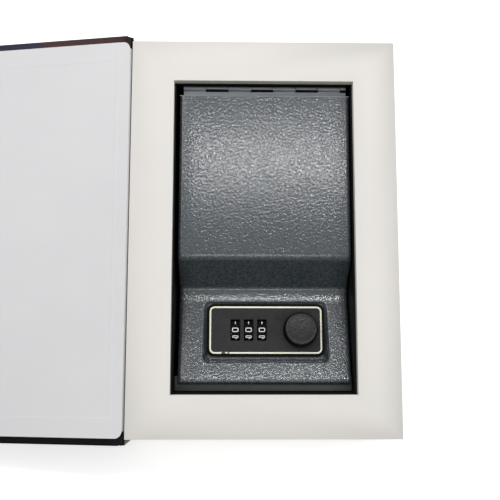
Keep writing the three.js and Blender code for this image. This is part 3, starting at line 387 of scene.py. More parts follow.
# %% [markdown]
# The pages are warm white book paper and the endpaper is cooler. Both are matt with a faint fibre, and the
# cut edges of the block show the single sheets as fine lines that run level round the book.

# %% Papers and boards
SHEETS_PER_METRE = 5200.0


def paper(name, color_a, color_b, roughness=0.9):
    material = new_material(name, color_a, roughness)
    add_mottle(material, 14.0, color_a, color_b)
    add_grain(material, 3200.0, 0.00002)
    return material


def cut_edge_paper(name, color_a, color_b):
    material = new_material(name, color_a, 0.92)
    add_mottle(material, SHEETS_PER_METRE, color_a, color_b, stretch=(0.004, 0.004, 1))
    add_grain(material, SHEETS_PER_METRE, 0.00012, stretch=(0.01, 0.01, 1))
    return material


PAGE_TOP_PAPER = paper("page_top_paper", (0.785, 0.760, 0.722), (0.812, 0.788, 0.750))
PAGE_EDGE_PAPER = cut_edge_paper("page_edge_paper", (0.74, 0.70, 0.60), (0.90, 0.87, 0.79))
ENDPAPER = paper("endpaper", (0.700, 0.700, 0.712), (0.735, 0.735, 0.745))
LINING_PAPER = paper("lining_paper", (0.52, 0.46, 0.36), (0.60, 0.54, 0.43))
GREY_BOARD = paper("grey_board", (0.22, 0.20, 0.17), (0.28, 0.25, 0.21), 0.95)
print("sheets in a millimetre of the block's edge:", round(SHEETS_PER_METRE * MM, 1))

# %% [markdown]
# The cover is wrapped in dark laminated paper. What shows is a band along its edges, from navy at the fore
# edge through maroon to near black at the joint and the tail. A slow noise shifts the borders.

# %% Cover wrap
COVER_SPAN = (-0.235, 0.085)
COVER_BANDS = [
    (0.0, (0.020, 0.018, 0.034)),
    (0.33, (0.028, 0.026, 0.050)),
    (0.38, (0.062, 0.025, 0.028)),
    (0.51, (0.050, 0.021, 0.022)),
    (0.55, (0.009, 0.008, 0.009)),
    (0.62, (0.012, 0.010, 0.016)),
    (1.0, (0.014, 0.012, 0.020)),
]
COVER_TAIL = (0.0035, 0.0033, 0.0035, 1)


def cover_wrap():
    material = new_material("cover_wrap", (0.02, 0.015, 0.02), 0.42, Specular_IOR_Level=0.12)
    tree, shader = tree_of(material)
    point = object_point(tree)
    split = place_node(tree, "SeparateXYZ")
    link(point, "Vector", split, "Vector")
    drift = place_node(tree, "TexNoise", Scale=24.0, Detail=3.0)
    link(point, "Vector", drift, "Vector")
    shifted = place_node(tree, "Math", operation="MULTIPLY_ADD")
    shifted.inputs[1].default_value = 0.03
    link(drift, "Fac", shifted, 0)
    link(split, "X", shifted, 2)
    across = place_node(tree, "MapRange", From_Min=COVER_SPAN[0], From_Max=COVER_SPAN[1])
    link(shifted, "Value", across, "Value")
    bands = place_node(tree, "ValToRGB")
    ramp = bands.color_ramp
    for position, _color in COVER_BANDS[1:-1]:
        ramp.elements.new(position)
    for element, (_position, color) in zip(ramp.elements, COVER_BANDS):
        element.color = (*color, 1)
    link(across, "Result", bands, "Fac")
    to_tail = place_node(tree, "MapRange", From_Min=-0.05, From_Max=0.05)
    link(split, "Y", to_tail, "Value")
    tail = place_node(tree, "Mix", data_type="RGBA", A=COVER_TAIL)
    link(to_tail, "Result", tail, "Factor")
    link(bands, "Color", tail, "B")
    link(tail, "Result", shader, "Base Color")
    add_grain(material, 2200.0, 0.00002)
    return material


COVER_WRAP = cover_wrap()
print("colours across the cover:", len(COVER_BANDS))

# %% [markdown]
# The lock face is moulded black plastic with a fine spark-eroded texture, and its raised rim carries a pale
# painted line that has chipped away in places. The wheels are glossier, and their numbers are filled white.

# %% Plastics, numbers and metals
WORN_PLACE = Vector((-21.6, -68.9, 28.2)) * MM


def moulded_plastic(name, color, roughness, height, shine, scale=3600.0):
    material = new_material(name, color, roughness, Specular_IOR_Level=shine)
    add_mottle(material, 320.0, color, tuple(c * 1.25 for c in color))
    add_grain(material, scale, height)
    return material


def rim_paint():
    material = new_material("rim_paint", (0.86, 0.86, 0.66), 0.38)
    tree, shader = tree_of(material)
    point = object_point(tree)
    chips = place_node(tree, "TexNoise", Scale=420.0, Detail=2.0)
    gate = place_node(tree, "MapRange", From_Min=0.735, From_Max=0.75)
    link(point, "Vector", chips, "Vector")
    tone = use_group(tree, MOTTLE, Scale=45.0, Color_A=(0.97, 0.94, 0.82, 1), Color_B=(0.84, 0.88, 0.62, 1))
    link(point, "Vector", tone, "Vector")
    worn = place_node(tree, "VectorMath", operation="DISTANCE")
    worn.inputs[1].default_value = WORN_PLACE
    link(point, "Vector", worn, 0)
    near = place_node(tree, "MapRange", From_Min=0.0045, From_Max=0.0015, To_Max=0.36)
    link(worn, "Value", near, "Value")
    chipped = place_node(tree, "Math", operation="ADD")
    link(chips, "Fac", chipped, 0)
    link(near, "Result", chipped, 1)
    link(chipped, "Value", gate, "Value")
    mix = place_node(tree, "Mix", data_type="RGBA", B=(0.03, 0.03, 0.03, 1))
    link(gate, "Result", mix, "Factor")
    link(tone, "Color", mix, "A")
    link(mix, "Result", shader, "Base Color")
    return material


def bare_metal(name, color_a, color_b, roughness, scale=160.0):
    material = new_material(name, color_a, roughness, 1.0)
    add_mottle(material, scale, color_a, color_b)
    add_grain(material, 1800.0, 0.00002, stretch=(0.15, 1, 1))
    return material


PLATE_PLASTIC = moulded_plastic("plate_plastic", (0.026, 0.0265, 0.0265), 0.55, 0.00004, 0.16)
KNOB_PLASTIC = moulded_plastic("knob_plastic", (0.0125, 0.013, 0.0135), 0.34, 0.00022, 0.34, 420.0)
WHEEL_PLASTIC = moulded_plastic("wheel_plastic", (0.003, 0.003, 0.003), 0.5, 0.00001, 0.08)
RIM_PAINT = rim_paint()
DIGIT_WHITE = new_material("digit_white", (0.86, 0.86, 0.84), 0.5)
add_mottle(DIGIT_WHITE, 900.0, (0.80, 0.80, 0.78), (0.90, 0.90, 0.88))
ZINC = bare_metal("zinc_plate", (0.46, 0.47, 0.47), (0.58, 0.59, 0.60), 0.36)
STEEL = bare_metal("bright_steel", (0.52, 0.53, 0.54), (0.62, 0.63, 0.64), 0.24)
BRASS = bare_metal("turned_brass", (0.48, 0.33, 0.12), (0.60, 0.43, 0.18), 0.27)
print("materials so far:", len(bpy.data.materials))

# %% [markdown]
# Sheet metal, boards and small turned parts keep the construction model's shape. A copy of each node is
# welded into one surface, flat triangles are dissolved into whole faces, and a Bevel modifier breaks the
# edges as a press or a lathe would. The copy then stands for its node.

# %% Worked copies of construction nodes
WELD_GAP = 0.002 * MM
FLAT_TURN = math.radians(0.5)
FINE_EDGE = 0.12 * MM
WRAP_EDGE = 0.32 * MM
WRAP_STEPS = 3
SLOTS = {row["node"]: row["material_slot"] for row in frame["record"]["subparts"]}


def everything(shape):
    return [*shape.verts, *shape.edges, *shape.faces]


def only_verts(grown):
    return [item for item in grown["geom"] if isinstance(item, bmesh.types.BMVert)]


def turn_out(shape):
    bmesh.ops.recalc_face_normals(shape, faces=shape.faces)


def set_at(shape, matrix):
    bmesh.ops.transform(shape, matrix=matrix, verts=shape.verts)


def finish_piece(name, shape, material, body, slot, *nodes):
    data = bpy.data.meshes.new(name)
    shape.to_mesh(data)
    shape.free()
    for one in material if isinstance(material, (list, tuple)) else [material]:
        data.materials.append(one)
    piece = add_object(name, data)
    if body:
        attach(piece, body)
    if nodes:
        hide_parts(*nodes)
    return piece


def welded(node):
    shape = bmesh.new()
    shape.from_mesh(frame["nodes"][node].data)
    bmesh.ops.remove_doubles(shape, verts=shape.verts, dist=WELD_GAP)
    bmesh.ops.dissolve_limit(shape, angle_limit=FLAT_TURN, verts=shape.verts, edges=shape.edges)
    return shape


def break_edges(piece, width, segments=2, angle=32):
    bevel = piece.modifiers.new("broken edges", "BEVEL")
    bevel.width = width
    bevel.segments = segments
    bevel.limit_method = "ANGLE"
    bevel.angle_limit = math.radians(angle)
    bevel.harden_normals = True
    piece.data.shade_smooth()
    return piece


def worked_copy(node, material, width, segments=2):
    body = frame["nodes"][node]["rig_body"]
    piece = finish_piece(node + "_worked", welded(node), material, body, SLOTS[node], node)
    return break_edges(piece, width, segments)


def work_all(rows):
    pieces = {}
    for node, material, width, *steps in rows:
        pieces[node] = worked_copy(node, material, width * MM, *steps)
    print("worked copies:", ", ".join(pieces))
    return pieces


print("nodes to stand in for:", len(SLOTS))

# %% [markdown]
# The book block comes first. Its top sheet is flat, but its cut edges are hundreds of sheets that never line
# up exactly. The welded block is sliced level by level, and each level is pushed in by a few hundredths of a
# millimetre, with a fixed seed so that every run gives the same block.

# %% Book block
LEVEL_STEP = 0.75 * MM
LEVEL_SHIFT = 0.07 * MM
TOP_FACE = 0.5
BOOK_ROWS = [
    ("front_flyleaf", PAGE_TOP_PAPER, 0.06, 1),
    ("spine_lining", LINING_PAPER, 0.05, 1),
    ("spine_board", GREY_BOARD, 0.15),
    ("back_board", GREY_BOARD, 0.15),
    ("front_board", GREY_BOARD, 0.15),
    ("back_pastedown", ENDPAPER, 0.06, 1),
    ("case_wrap", COVER_WRAP, 0.32, WRAP_STEPS),
]


def slice_levels(shape, low, high, step):
    level = low + step
    while level < high - step / 2:
        bmesh.ops.bisect_plane(shape, geom=everything(shape), plane_co=(0, 0, level), plane_no=(0, 0, 1))
        level += step


def make_page_block():
    low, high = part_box("page_block")
    hole_low, hole_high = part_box("box_tray")
    shape = welded("page_block")
    slice_levels(shape, low.z, high.z, LEVEL_STEP)
    rng = random.Random(7)
    shifts = {}
    for vert in shape.verts:
        level = round((vert.co.z - low.z) / LEVEL_STEP)
        push = shifts.setdefault(level, [rng.uniform(-1, 0) * LEVEL_SHIFT for _ in range(4)])
        inside_x = hole_low.x - MM < vert.co.x < hole_high.x + MM
        inside_y = hole_low.y - MM < vert.co.y < hole_high.y + MM
        if inside_x and inside_y:
            continue
        vert.co.x += push[0] if vert.co.x > 0 else -push[1]
        vert.co.y += push[2] if vert.co.y > 0 else -push[3]
    for face in shape.faces:
        face.material_index = 0 if abs(face.normal.z) > TOP_FACE else 1
    print("levels of sheets:", len(shifts))
    materials = [PAGE_TOP_PAPER, PAGE_EDGE_PAPER]
    finish_piece("page_block_sheets", shape, materials, "book", "page_paper", "page_block")


make_page_block()
book_pieces = work_all(BOOK_ROWS)

# %% [markdown]
# The box and everything bolted to it are pressed sheet and turned steel, so they are worked copies with
# small edge breaks. A row gives the node, its finish, the width of the broken edge in millimetres and, where
# it isn't two, the number of steps across that edge.

# %% Box, hinge leaf, screws and lock
STEEL_ROWS = [
    # The tray's near-black is painted shade for the gap round the lid.
    ("box_tray", SHADE_BLACK_PAINT, 0.25),
    ("strike_rail", RAIL_PAINT, 0.35, 3),
    ("box_hinge_leaf", HINGE_PAINT, 0.12),
    ("hinge_pin", STEEL, 0.12),
]
for number in range(1, 5):
    STEEL_ROWS += [(f"box_screw_{number}", STEEL, 0.3, 3), (f"lock_screw_{number}", STEEL, 0.25, 3)]
LOCK_ROWS = [
    ("lock_case", ZINC, 0.22),
    ("bolt_guide", ZINC, 0.2),
    ("latch_bolt", ZINC, 0.25),
    ("code_fence", ZINC, 0.2),
    ("detent_spring", STEEL, 0.08),
    ("wheel_axle", STEEL, 0.2),
    ("crank_disc", ZINC, 0.25),
    ("knob_spindle", STEEL, 0.25),
    ("knob_bush", BRASS, 0.2),
    ("bush_nut", BRASS, 0.25),
    ("reset_slide", BRASS, 0.2),
    *[(f"code_sleeve_{number}", BRASS, 0.15) for number in range(1, 4)],
]
steel_pieces = work_all(STEEL_ROWS)
work_all(LOCK_ROWS)

# %% [markdown]
# A few faces have another finish than the rest of their piece. The box tray is near-black as painted shade
# in the gap round the lid, so its rim at the head, where the light falls on it, has the rail's plain paint;
# the slots between the hinge's knuckles get the same near-black as painted shade; and the spine's board
# carries the wrap where it shows. Faces are chosen by where they lie or by which way they look.

# %% Faces with a second finish
RIM_Z = 46.0 * MM
HEAD_Y = 90.5 * MM
SHADED_SLOT_LOOK = -0.4
SPINE_LOOK_UP, SPINE_LOOK_IN = 0.3, 0.5


def paint_faces(piece, material, chosen):
    piece.data.materials.append(material)
    faces = [face for face in piece.data.polygons if chosen(face)]
    for face in faces:
        face.material_index = 1
    print(piece.name, "faces painted:", len(faces))


paint_faces(
    steel_pieces["box_tray"], RAIL_PAINT, lambda face: face.center.z > RIM_Z and face.center.y > HEAD_Y
)
# The box leaf's faces that look to the tail get the near-black painted shade of the slots.
paint_faces(steel_pieces["box_hinge_leaf"], SHADE_BLACK_PAINT, lambda face: face.normal.y < SHADED_SLOT_LOOK)
paint_faces(
    book_pieces["spine_board"], COVER_WRAP,
    lambda face: face.normal.z > SPINE_LOOK_UP or face.normal.x > SPINE_LOOK_IN,
)

# %% [markdown]
# The lid is one pressed sheet: a flat panel, a step down into a valley, and a ramp that rises to the tail.
# Its sizes are those of the construction model, counted down from the top of the pages and along from the
# lid's nose. The lock has its own tilted frame, whose origin is the middle of the lock plate's face.

# %% Lid and lock drawing
LID_LOW, LID_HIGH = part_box("lid_panel")
PAGE_TOP = PAGE_CORNER.z
PANEL_Z = PAGE_TOP - 6.8 * MM
VALLEY_Z = PAGE_TOP - 27.0 * MM
RAMP_TOP_Z = PAGE_TOP - 13.0 * MM
NOSE_Z = PAGE_TOP - 14.1 * MM
NOSE_Y = -86.5 * MM
RAMP_TOP_Y = NOSE_Y + 2.0 * MM
RAMP_Y = RAMP_TOP_Y + 49.0 * MM
VALLEY_Y = RAMP_Y + 6.2 * MM
STEP_Y = VALLEY_Y + 16.1 * MM
PANEL_Y = STEP_Y + 98.6 * MM
LID_SHEET = 1.1 * MM
SKIRT_DEPTH = 3.4 * MM
SKIRT_TAIL = -81.2 * MM
LOCK_TILT = math.radians(-4)
LOCK_PLACE = Vector((1.8, -54.8, 27.1)) * MM
LOCK = Matrix.Translation(LOCK_PLACE) @ Matrix.Rotation(LOCK_TILT, 4, "X")
print("lid drawing, nose to hinge edge:", round((PANEL_Y - NOSE_Y) / MM, 1), "mm")

# %% [markdown]
# A pressed bend is never sharp. This helper replaces each inner corner of the lid's side view by a short
# arc, drawn as a quadratic curve between the two points where the bend starts and ends.

# %% Side view with rounded bends
BEND_STEPS = 10


def rounded_path(corners, reaches):
    corners = [Vector(c) for c in corners]
    points = [corners[0]]
    for before, corner, after, reach in zip(corners, corners[1:], corners[2:], reaches):
        start = corner + (before - corner).normalized() * reach
        end = corner + (after - corner).normalized() * reach
        for step in range(BEND_STEPS + 1):
            t = step / BEND_STEPS
            points.append(start.lerp(corner, t).lerp(corner.lerp(end, t), t))
    points.append(corners[-1])
    return points


LID_CORNERS = [
    (PANEL_Y, PANEL_Z - 1.4 * MM),
    (PANEL_Y, PANEL_Z),
    (STEP_Y, PANEL_Z),
    (VALLEY_Y, VALLEY_Z),
    (RAMP_Y, VALLEY_Z),
    (RAMP_TOP_Y, RAMP_TOP_Z),
    (NOSE_Y, NOSE_Z),
]
LID_BENDS = [0.7 * MM, 3.6 * MM, 1.8 * MM, 3.9 * MM, 1.2 * MM]
lid_path = rounded_path(LID_CORNERS, LID_BENDS)
print("points in the lid's side view:", len(lid_path))

# %% [markdown]
# The side view is swept across the lid in one stroke. Cuts with bisect_plane then add lines only where the
# dish and the rounded long edges need them, so the flat panel stays light while the bends are smooth.

# %% Lid strip
EDGE_ROUND = 2.2 * MM
EDGE_LINES = [0.08 * MM, 0.3 * MM, 0.65 * MM, 1.1 * MM, 1.65 * MM, EDGE_ROUND]
DISH_LEFT = LOCK_PLACE.x - 34.7 * MM
DISH_RIGHT = LOCK_PLACE.x + 34.6 * MM
DISH_HEAD = LOCK_PLACE.y + 15.6 * MM
DISH_TAIL = LOCK_PLACE.y - 17.5 * MM
DISH_SIDE_WALL = 3.2 * MM
DISH_HEAD_WALL = 2.2 * MM
DISH_TAIL_WALL = 1.7 * MM
DISH_CORNER = 1.6 * MM
WALL_REACH = 3.4 * MM
WALL_LINE = 0.29 * MM
FLOOR_LINE = 3 * MM


def swept(path, along):
    shape = bmesh.new()
    verts = [shape.verts.new(point) for point in path]
    edges = [shape.edges.new(pair) for pair in zip(verts, verts[1:])]
    grown = bmesh.ops.extrude_edge_only(shape, edges=edges)
    bmesh.ops.translate(shape, verts=only_verts(grown), vec=along)
    return shape


def cut_at(shape, place, normal, near=None):
    faces = [f for f in shape.faces if near is None or near(f.calc_center_median())]
    edges = {e for f in faces for e in f.edges}
    verts = {v for f in faces for v in f.verts}
    bmesh.ops.bisect_plane(shape, geom=[*verts, *edges, *faces], plane_co=place, plane_no=normal, dist=1e-8)


def lines_between(start, end, step):
    count = max(1, round(abs(end - start) / step))
    return [start + (end - start) * i / count for i in range(count + 1)]


def lid_strip():
    shape = swept([(LID_LOW.x, p.x, p.y) for p in lid_path], (LID_HIGH.x - LID_LOW.x, 0, 0))
    across = [LID_LOW.x + d for d in EDGE_LINES] + [LID_HIGH.x - d for d in EDGE_LINES]
    across += lines_between(DISH_LEFT - WALL_REACH, DISH_LEFT + DISH_CORNER, WALL_LINE)
    across += lines_between(DISH_RIGHT - DISH_CORNER, DISH_RIGHT + WALL_REACH, WALL_LINE)
    along = lines_between(DISH_HEAD - DISH_CORNER, DISH_HEAD + DISH_HEAD_WALL, WALL_LINE)
    along += lines_between(DISH_TAIL - WALL_REACH, DISH_TAIL + DISH_CORNER, WALL_LINE)
    along += lines_between(DISH_TAIL + DISH_CORNER, DISH_HEAD - DISH_CORNER, FLOOR_LINE)
    for x in across:
        cut_at(shape, (x, 0, 0), (1, 0, 0))
    for y in along:
        cut_at(shape, (0, y, 0), (0, 1, 0))
    cut_at(shape, (0, SKIRT_TAIL, 0), (0, 1, 0))
    return shape


print("dish floor:", [round(d / MM, 1) for d in (DISH_RIGHT - DISH_LEFT, DISH_HEAD - DISH_TAIL)], "mm")

# %% [markdown]
# Pressing is done vertex by vertex. Inside the dish's outline a vertex drops to the dish floor. Outside it
# the wall climbs back to the sheet along a soft S, wider where the wall is higher. The long edges roll over
# into a skirt, which stiffens a thin sheet.

# %% Press the dish and roll the edges
DISH_FLOOR = -2.1 * MM
DISH_PLANE = LOCK @ Vector((0, 0, DISH_FLOOR))
DISH_NORMAL = LOCK.to_3x3() @ Vector((0, 0, 1))
STEP_SKIRT = 1.55
TINY = 1e-7


def floor_height(y):
    return DISH_PLANE.z - (y - DISH_PLANE.y) * DISH_NORMAL.y / DISH_NORMAL.z


def up_the_wall(x, y):
    middle_x, middle_y = (DISH_LEFT + DISH_RIGHT) / 2, (DISH_HEAD + DISH_TAIL) / 2
    over_x = max(abs(x - middle_x) - (DISH_RIGHT - DISH_LEFT) / 2 + DISH_CORNER, 0)
    over_y = max(abs(y - middle_y) - (DISH_HEAD - DISH_TAIL) / 2 + DISH_CORNER, 0)
    end_wall = DISH_HEAD_WALL if y > middle_y else DISH_TAIL_WALL
    out = math.hypot(over_x, over_y)
    if out < DISH_CORNER:
        return 0.0
    wall = (over_x * DISH_SIDE_WALL + over_y * end_wall) / (over_x + over_y)
    return min((out - DISH_CORNER) / wall, 1.0)


def press(vert):
    x, y, z = vert.co
    if NOSE_Y < y < VALLEY_Y:
        floor = floor_height(y)
        height = max(z - floor, 0)
        t = up_the_wall(x, y)
        z = floor + height * t * t * (3 - 2 * t)
    edge = min(x - LID_LOW.x, LID_HIGH.x - x)
    if edge < EDGE_ROUND:
        z -= EDGE_ROUND - math.sqrt(EDGE_ROUND**2 - (EDGE_ROUND - edge) ** 2)
    vert.co.z = z


def roll_skirts(shape):
    for x in (LID_LOW.x, LID_HIGH.x):
        side = [
            e for e in shape.edges
            if e.is_boundary and all(abs(v.co.x - x) < TINY and v.co.y > SKIRT_TAIL - TINY for v in e.verts)
        ]
        for vert in only_verts(bmesh.ops.extrude_edge_only(shape, edges=side)):
            slope = STEP_SKIRT if VALLEY_Y < vert.co.y < STEP_Y else 1.0
            vert.co.z -= (SKIRT_DEPTH - EDGE_ROUND) * slope


print("dish floor under the middle of the plate:", round(floor_height(LOCK_PLACE.y) / MM, 2), "mm up")

# %% [markdown]
# Under the plate, the dish floor is pierced for the wheels, for the knob's bush and for four screws. A round
# hole is cut as many short flats: planes are laid round its centre, and the faces inside go.

# %% Holes in the dish floor
HOLE_FLATS = 16
WHEEL_HOLE = (Vector((-23.3, -7.85)) * MM, Vector((3.7, 7.85)) * MM)
ROUND_HOLES = [((20.8, 0.0), 4.85)] + [((x, y), 1.35) for x in (-30.4, 30.4) for y in (-10.4, 10.4)]
CUT_REACH = 1.6
CUT_MARGIN = 3 * MM


def cut_round_hole(shape, x, y, radius):
    centre = LOCK @ Vector((x, y, DISH_FLOOR))

    def away(point):
        return math.hypot(point.x - centre.x, point.y - centre.y)

    def near(point):
        return away(point) < radius * CUT_REACH + CUT_MARGIN

    for flat in range(HOLE_FLATS):
        angle = 2 * math.pi * flat / HOLE_FLATS
        outward = Vector((math.cos(angle), math.sin(angle), 0))
        cut_at(shape, centre + outward * radius * math.cos(math.pi / HOLE_FLATS), outward, near)
    gone = [f for f in shape.faces if away(f.calc_center_median()) < radius]
    bmesh.ops.delete(shape, geom=gone, context="FACES")


def pierce_floor(shape):
    low = LOCK @ Vector((*WHEEL_HOLE[0], DISH_FLOOR))
    high = LOCK @ Vector((*WHEEL_HOLE[1], DISH_FLOOR))
    for point in (low, high):
        cut_at(shape, point, (1, 0, 0))
        cut_at(shape, point, (0, 1, 0))
    gone = []
    for face in shape.faces:
        middle = face.calc_center_median()
        if low.x < middle.x < high.x and low.y < middle.y < high.y:
            gone.append(face)
    bmesh.ops.delete(shape, geom=gone, context="FACES")
    for (x, y), radius in ROUND_HOLES:
        cut_round_hole(shape, x * MM, y * MM, radius * MM)


print("holes in the dish floor:", len(ROUND_HOLES) + 1)

# %% [markdown]
# How strongly the paint is hammered differs over the lid: it is calm on the steep step and near the tail's
# left corner. That strength is stored on the mesh as an attribute, which the paint reads, so it stays with
# the sheet in every pose.

# %% Make the lid sheet
STEP_HAMMER = 0.30
STEP_MARGIN = 1.5 * MM
EDGE_HAMMER, EDGE_GAIN = 0.25, 0.75
CALM_HAMMER, CALM_GAIN = 0.55, 0.45
DISH_HAMMER, DISH_GAIN = 0.3, 0.7
CALM_X, CALM_Y = -34 * MM, -78 * MM
CALM_ACROSS, CALM_ALONG = 30, 9


def hammer_strength(point):
    if VALLEY_Y + STEP_MARGIN < point.y < STEP_Y - STEP_MARGIN:
        return STEP_HAMMER
    edge = min(point.x - LID_LOW.x, LID_HIGH.x - point.x)
    strength = EDGE_HAMMER + EDGE_GAIN * min(edge / EDGE_ROUND, 1.0)
    if point.y > RAMP_Y:
        return strength
    calm = math.hypot((point.x - CALM_X) / CALM_ACROSS, (point.y - CALM_Y) / CALM_ALONG) / MM
    strength *= CALM_HAMMER + CALM_GAIN * min(calm, 1.0)
    return strength * (DISH_HAMMER + DISH_GAIN * up_the_wall(point.x, point.y))


def make_lid():
    shape = lid_strip()
    for vert in shape.verts:
        press(vert)
    pierce_floor(shape)
    roll_skirts(shape)
    turn_out(shape)
    top = max(shape.faces, key=lambda f: f.calc_center_median().z)
    if top.normal.z < 0:
        bmesh.ops.reverse_faces(shape, faces=shape.faces)
    strength = [hammer_strength(v.co) for v in shape.verts]
    piece = finish_piece("lid_sheet", shape, HAMMERED, "lid", "lid_paint", "lid_panel")
    layer = piece.data.attributes.new("hammer", "FLOAT", "POINT")
    layer.data.foreach_set("value", strength)
    sheet = piece.modifiers.new("sheet thickness", "SOLIDIFY")
    sheet.thickness = LID_SHEET
    sheet.offset = -1
    sheet.use_even_offset = False
    piece.data.shade_smooth()
    return piece


lid_sheet = make_lid()
print("lid sheet faces:", len(lid_sheet.data.polygons))

# %% [markdown]
# The lid's half of the hinge is a strip with rolled knuckles, welded under the sheet's head edge. It is a
# copy of the construction node, cut off just behind that edge, without the old sheet's underside.

# %% Lid hinge leaf
LEAF_CUT_Y = PANEL_Y - 0.6 * MM
LEAF_OPEN_Y = PANEL_Y + 0.2 * MM
LEAF_LOW_Z = PANEL_Z - 1.2 * MM


def under_sheet(face):
    middle = face.calc_center_median()
    return middle.y < LEAF_OPEN_Y and middle.z < LEAF_LOW_Z


def make_lid_leaf():
    shape = welded("lid_panel")
    bmesh.ops.bisect_plane(
        shape, geom=everything(shape), plane_co=(0, LEAF_CUT_Y, 0), plane_no=(0, 1, 0), clear_inner=True,
    )
    bmesh.ops.delete(shape, geom=[face for face in shape.faces if under_sheet(face)], context="FACES")
    print("faces of the lid's leaf:", len(shape.faces))
    break_edges(finish_piece("lid_leaf", shape, HINGE_PAINT, "lid", "lid_paint"), FINE_EDGE)


make_lid_leaf()

# %% [markdown]
# The lock plate is a moulded bar with a raised line round its edge. The line is painted on the real one, so
# its top faces get the pale paint and all others the black plastic. Faces are picked by their height in the
# lock's own tilted frame, which is found by undoing the tilt.

# %% Lock plate
RIM_RAISED = 0.6 * 0.35 * MM
RIM_BORDER = 0.17 * MM
TO_LOCK = LOCK.inverted()


def make_plate():
    shape = welded("lock_plate")
    raised = [f for f in shape.faces if min((TO_LOCK @ v.co).z for v in f.verts) > RIM_RAISED]
    bmesh.ops.inset_region(shape, faces=raised, thickness=RIM_BORDER, use_even_offset=True)
    for face in raised:
        face.material_index = 1
    print("painted rim faces:", len(raised))
    piece = finish_piece(
        "lock_plate_face", shape, [PLATE_PLASTIC, RIM_PAINT], "lid", "black_plastic", "lock_plate"
    )
    break_edges(piece, FINE_EDGE)


make_plate()

# %% [markdown]
# A near-black ring under the lock plate shows as a narrow border; it is painted shade for the trench round
# the plate. A flat sheet gets round corners, its middle is taken out, and the ring that is left is raised to
# its thickness.

# %% Painted shade ring round the lock plate
PLATE_HEIGHT = 28.7 * MM
SHADE_RING_OUT = 1.5 * MM
SHADE_RING_IN = 1.2 * MM
SHADE_RING_TOP = -1.0 * MM
SHADE_RING_CORNER = 4.2 * MM
SHADE_RING_STEPS = 6
SHADE_RING_EDGE = 0.2 * MM


def make_plate_shade_ring():
    low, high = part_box("lock_plate")
    shape = bmesh.new()
    bmesh.ops.create_grid(shape, x_segments=1, y_segments=1, size=0.5)
    size = (high.x - low.x + 2 * SHADE_RING_OUT, PLATE_HEIGHT + 2 * SHADE_RING_OUT, 1)
    bmesh.ops.scale(shape, verts=shape.verts, vec=size)
    bmesh.ops.bevel(
        shape, geom=shape.verts[:], offset=SHADE_RING_CORNER, segments=SHADE_RING_STEPS, profile=0.5,
        affect="VERTICES", material=-1,
    )
    bmesh.ops.inset_region(shape, faces=shape.faces[:], thickness=SHADE_RING_OUT + SHADE_RING_IN, use_boundary=True)
    middle = min(shape.faces, key=lambda f: f.calc_center_median().length)
    bmesh.ops.delete(shape, geom=[middle], context="FACES_ONLY")
    grown = bmesh.ops.extrude_face_region(shape, geom=shape.faces[:])
    bmesh.ops.translate(shape, verts=only_verts(grown), vec=(0, 0, SHADE_RING_TOP - DISH_FLOOR))
    turn_out(shape)
    set_at(shape, LOCK @ Matrix.Translation((0, 0, DISH_FLOOR)))
    print("painted_shade_ring:", [round(length / MM, 1) for length in size[:2]], "mm")
    # The ring has the near-black wheel plastic as painted shade.
    break_edges(finish_piece("lock_plate_foot", shape, WHEEL_PLASTIC, "lid", "black_plastic"), SHADE_RING_EDGE)


make_plate_shade_ring()

# %% [markdown]
# Each number wheel is a ring with ten notches for a finger. A circle is drawn, its points between two
# numbers are pulled in, a second circle makes the bore, and bridging the two gives the side of the wheel,
# which is extruded to its width.

# %% Number wheels
WHEEL_R = 7.6 * MM
WHEEL_WIDTH = 5.2 * MM
WHEEL_BORE = 1.6 * MM
WHEEL_Z = -6.4 * MM
WHEEL_PLACES = [-18.3 * MM, -10.3 * MM, -2.3 * MM]
WHEEL_NOTCH = 0.45 * MM
WHEEL_STEPS = 120
WHEEL_EDGE = 0.22 * MM
WHEEL_EDGE_TURN = 50
NOTCH_HALF = 0.085
NOTCH_CURVE = 0.6
DIGIT_SHARE = 2 * math.pi / 10
TO_SIDE = Matrix.Rotation(math.radians(90), 4, "Y")


def notch_depth(angle):
    from_gap = abs(angle / DIGIT_SHARE % 1 - 0.5)
    return WHEEL_NOTCH * max(0.0, 1 - from_gap / NOTCH_HALF) ** NOTCH_CURVE


def make_wheel(number, place):
    shape = bmesh.new()
    outer = bmesh.ops.create_circle(shape, segments=WHEEL_STEPS, radius=WHEEL_R)["verts"]
    for vert in outer:
        angle = math.atan2(vert.co.x, vert.co.y)
        vert.co.xy *= (WHEEL_R - notch_depth(angle)) / WHEEL_R
    bmesh.ops.create_circle(shape, segments=WHEEL_STEPS, radius=WHEEL_BORE)
    ring = bmesh.ops.bridge_loops(shape, edges=shape.edges[:])["faces"]
    grown = bmesh.ops.extrude_face_region(shape, geom=ring)
    bmesh.ops.translate(shape, verts=only_verts(grown), vec=(0, 0, WHEEL_WIDTH))
    bmesh.ops.translate(shape, verts=shape.verts, vec=(0, 0, -WHEEL_WIDTH / 2))
    turn_out(shape)
    set_at(shape, LOCK @ Matrix.Translation((place, 0, WHEEL_Z)) @ TO_SIDE)
    name = f"number_wheel_{number}"
    piece = finish_piece(name + "_ring", shape, WHEEL_PLASTIC, f"wheel_{number}", "black_plastic", name)
    print(piece.name, "faces:", len(piece.data.polygons))
    break_edges(piece, WHEEL_EDGE, angle=WHEEL_EDGE_TURN)


for number, place in enumerate(WHEEL_PLACES, 1):
    make_wheel(number, place)

# %% [markdown]
# The numbers are generic ones, drawn with a pen of one width. Each is a word whose letters name points on a
# small grid, a to i from its upper left to its lower right, and s and t for two more. Its corners are
# rounded, a curve with a round bevel makes it a stroke, and the stroke is pressed flat and bent round the
# wheel. Zero looks up, one lies towards the head and nine towards the tail.

